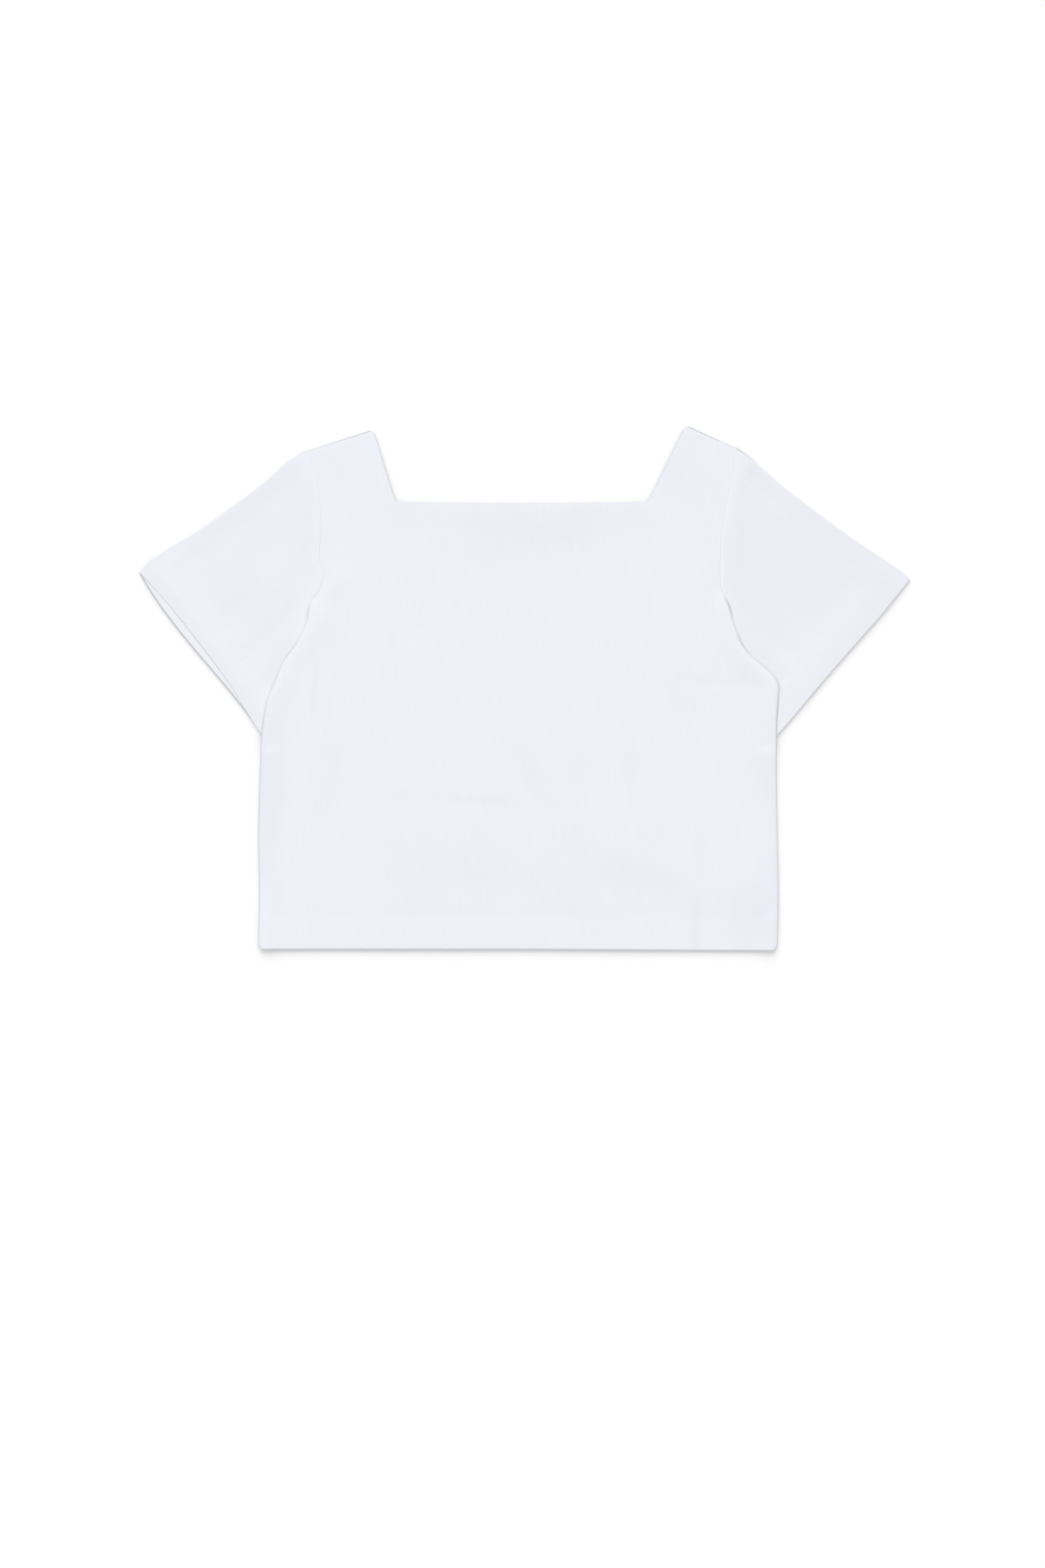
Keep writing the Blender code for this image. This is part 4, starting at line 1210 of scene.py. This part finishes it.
def jersey(name, colour, warmer):
    """Fine white cotton jersey: matt, with a little nap, knit bumps and yarn that varies."""
    material = bpy.data.materials.new(name)
    nodes = Nodes(material)
    cloth = nodes.make("ShaderNodeUVMap", {}, uv_map="Cloth")
    streaks = nodes.make("ShaderNodeMapping", {"Vector": cloth, "Scale": (900.0, 45.0, 1.0)})
    yarn = nodes.range(nodes.noise(streaks, 1.0, 3.0), 0.988, 1.010)
    cloudy = nodes.range(nodes.noise(cloth, 22.0, 2.0), 0.994, 1.006)
    # The piece's painted shading: painted shade at edges and folds, painted light and shade along creases,
    # painted highlight at the seams
    painted_shading = nodes.make("ShaderNodeAttribute", {}, output="Fac", attribute_name="PaintedShading")
    shade = nodes.math("MULTIPLY", yarn, nodes.math("ADD", cloudy, painted_shading))
    warmth = nodes.make("ShaderNodeAttribute", {}, output="Fac", attribute_name="Tint")
    pair = {"Factor": warmth, 6: (*colour, 1.0), 7: (*warmer, 1.0)}
    white = nodes.make("ShaderNodeMix", pair, 2, data_type="RGBA", clamp_factor=True)
    nodes.tint(white, shade)
    nap = nodes.range(nodes.noise(cloth, 1600.0, 4.0), 0.86, 0.96)
    nodes.put(nap, nodes.shader.inputs["Roughness"])
    nodes.constants({"Specular IOR Level": 0.22, "Sheen Weight": 0.10, "Sheen Roughness": 0.45})
    knit = nodes.bump(knit_height(nodes, cloth), 0.00010, 0.30)
    fuzz = nodes.bump(nodes.noise(cloth, 700.0, 5.0), 0.00012, 0.25, knit)
    nodes.put(fuzz, nodes.shader.inputs["Normal"])
    return material


def thread(name, colour):
    """Spun white sewing thread: smoother than the cloth, its two plies twisted along each stitch."""
    material = bpy.data.materials.new(name)
    nodes = Nodes(material)
    place = nodes.make("ShaderNodeTexCoord", {}, output="Object")
    nodes.tint((*colour, 1.0), nodes.range(nodes.noise(place, 300.0, 2.0), 0.96, 1.02))
    plies = nodes.make(
        "ShaderNodeTexWave",
        {"Vector": place, "Scale": 900.0, "Distortion": 1.0},
        output="Fac",
        bands_direction="DIAGONAL",
    )
    nodes.put(nodes.bump(plies, 0.00004, 0.4), nodes.shader.inputs["Normal"])
    nodes.constants({"Roughness": 0.6, "Specular IOR Level": 0.3, "Sheen Weight": 0.15})
    return material


# ---------------- the stage

FLOOR_HALF = 120.0  # half of the floor's width
FLOOR_Z = -0.0002
FLOOR_WHITE = (0.94, 0.94, 0.94)
FLOOR_GLOW = 0.050
SKY_WHITE = 0.30
LIGHTS = (
    # name, strength, elevation, azimuth from +X towards +Y as seen from above, width: in degrees
    ("overhead_softbox", 1.26, 90, 0, 145),
    ("key_softbox", 1.38, 46, 97, 60),
)

PIXEL = 0.0006  # the size of a pixel of the photograph, on the cloth
PHOTO_SIZE = (1200, 1800)
PHOTO_ORIGIN = (602.5, 789.5)  # the pixel that shows the model's origin
LENS_MM = 70
SENSOR_MM = 36
CLOTH_TOP = 0.002  # the height at which a pixel is PIXEL wide
CLIP_END = 200  # past the floor's far edge in a low view


def stage():
    """A wide white floor, a faint white sky and two broad soft lights, overhead and at the neck's end."""
    mesh = bpy.data.meshes.new("floor")
    corners = [(x * FLOOR_HALF, y * FLOOR_HALF, FLOOR_Z) for x, y in ((-1, -1), (1, -1), (1, 1), (-1, 1))]
    mesh.from_pydata(corners, [], [(0, 1, 2, 3)])
    material = bpy.data.materials.new("white_paper")
    paper = {"Base Color": (*FLOOR_WHITE, 1.0), "Roughness": 0.95, "Specular IOR Level": 0.0}
    glow = {"Emission Color": (1.0, 1.0, 1.0, 1.0), "Emission Strength": FLOOR_GLOW}
    Nodes(material).constants({**paper, **glow})
    mesh.materials.append(material)
    floor = placed("floor", mesh)

    world = bpy.data.worlds.new("white_sky")
    world.use_nodes = True
    sky = world.node_tree.nodes["Background"]
    sky.inputs["Color"].default_value = (1.0, 1.0, 1.0, 1.0)
    sky.inputs["Strength"].default_value = SKY_WHITE
    bpy.context.scene.world = world

    for name, strength, elevation, azimuth, width in LIGHTS:
        sun = bpy.data.lights.new(name, "SUN")
        sun.energy, sun.angle = strength, math.radians(width)
        light = placed(name, sun)
        light.rotation_euler = (math.radians(90 - elevation), 0, math.radians(azimuth + 90))


def camera():
    """Straight above, so that a pixel of the photograph is PIXEL wide on the cloth."""
    data = bpy.data.cameras.new("camera")
    data.lens, data.sensor_width, data.sensor_fit = LENS_MM, SENSOR_MM, "AUTO"
    data.clip_end = CLIP_END
    height = PIXEL * PHOTO_SIZE[1] * LENS_MM / SENSOR_MM
    view = placed("camera", data)
    x = (PHOTO_SIZE[0] / 2 - PHOTO_ORIGIN[0]) * PIXEL
    y = (PHOTO_ORIGIN[1] - PHOTO_SIZE[1] / 2) * PIXEL
    view.location = (x, y, height + CLOTH_TOP)
    bpy.context.scene.camera = view


# ---------------- the t-shirt

JERSEY_WHITE = (0.851, 0.868, 0.926)
WARMER_WHITE = (0.849, 0.852, 0.914)
THREAD_WHITE = (0.875, 0.892, 0.936)

white_jersey = jersey("white_jersey", JERSEY_WHITE, WARMER_WHITE)
white_thread = thread("white_thread", THREAD_WHITE)

back_shell = panel(BACK_NECK_EASE, back_faces, BACK_PAINTED_SHADING, [])
back = cloth_piece("back_cloth", "back_panel", back_shell, white_jersey)
front_shell = panel(0.0, front_faces, FRONT_PAINTED_SHADING, FRONT_TINTS)
front = cloth_piece("front_cloth", "front_panel", front_shell, white_jersey)
sleeves = {
    side: cloth_piece(f"{name}_sleeve_cloth", f"{name}_sleeve", sleeve(side), white_jersey)
    for side, name in SIDES
}

front_hem = sewn_piece("front_hem_stitches", hem_paths(front_faces, True), 1.0, white_thread)
back_hem = sewn_piece("back_hem_stitches", hem_paths(back_faces, False), -1.0, white_thread)
cuffs = {
    side: [
        sewn_piece(f"{name}_cuff_upper_stitches", cuff_paths(side, True), 1.0, white_thread),
        sewn_piece(f"{name}_cuff_lower_stitches", cuff_paths(side, False), -1.0, white_thread),
    ]
    for side, name in SIDES
}

stage()
camera()
bpy.context.scene.view_settings.view_transform = "Standard"
bpy.context.scene.view_settings.look = "None"
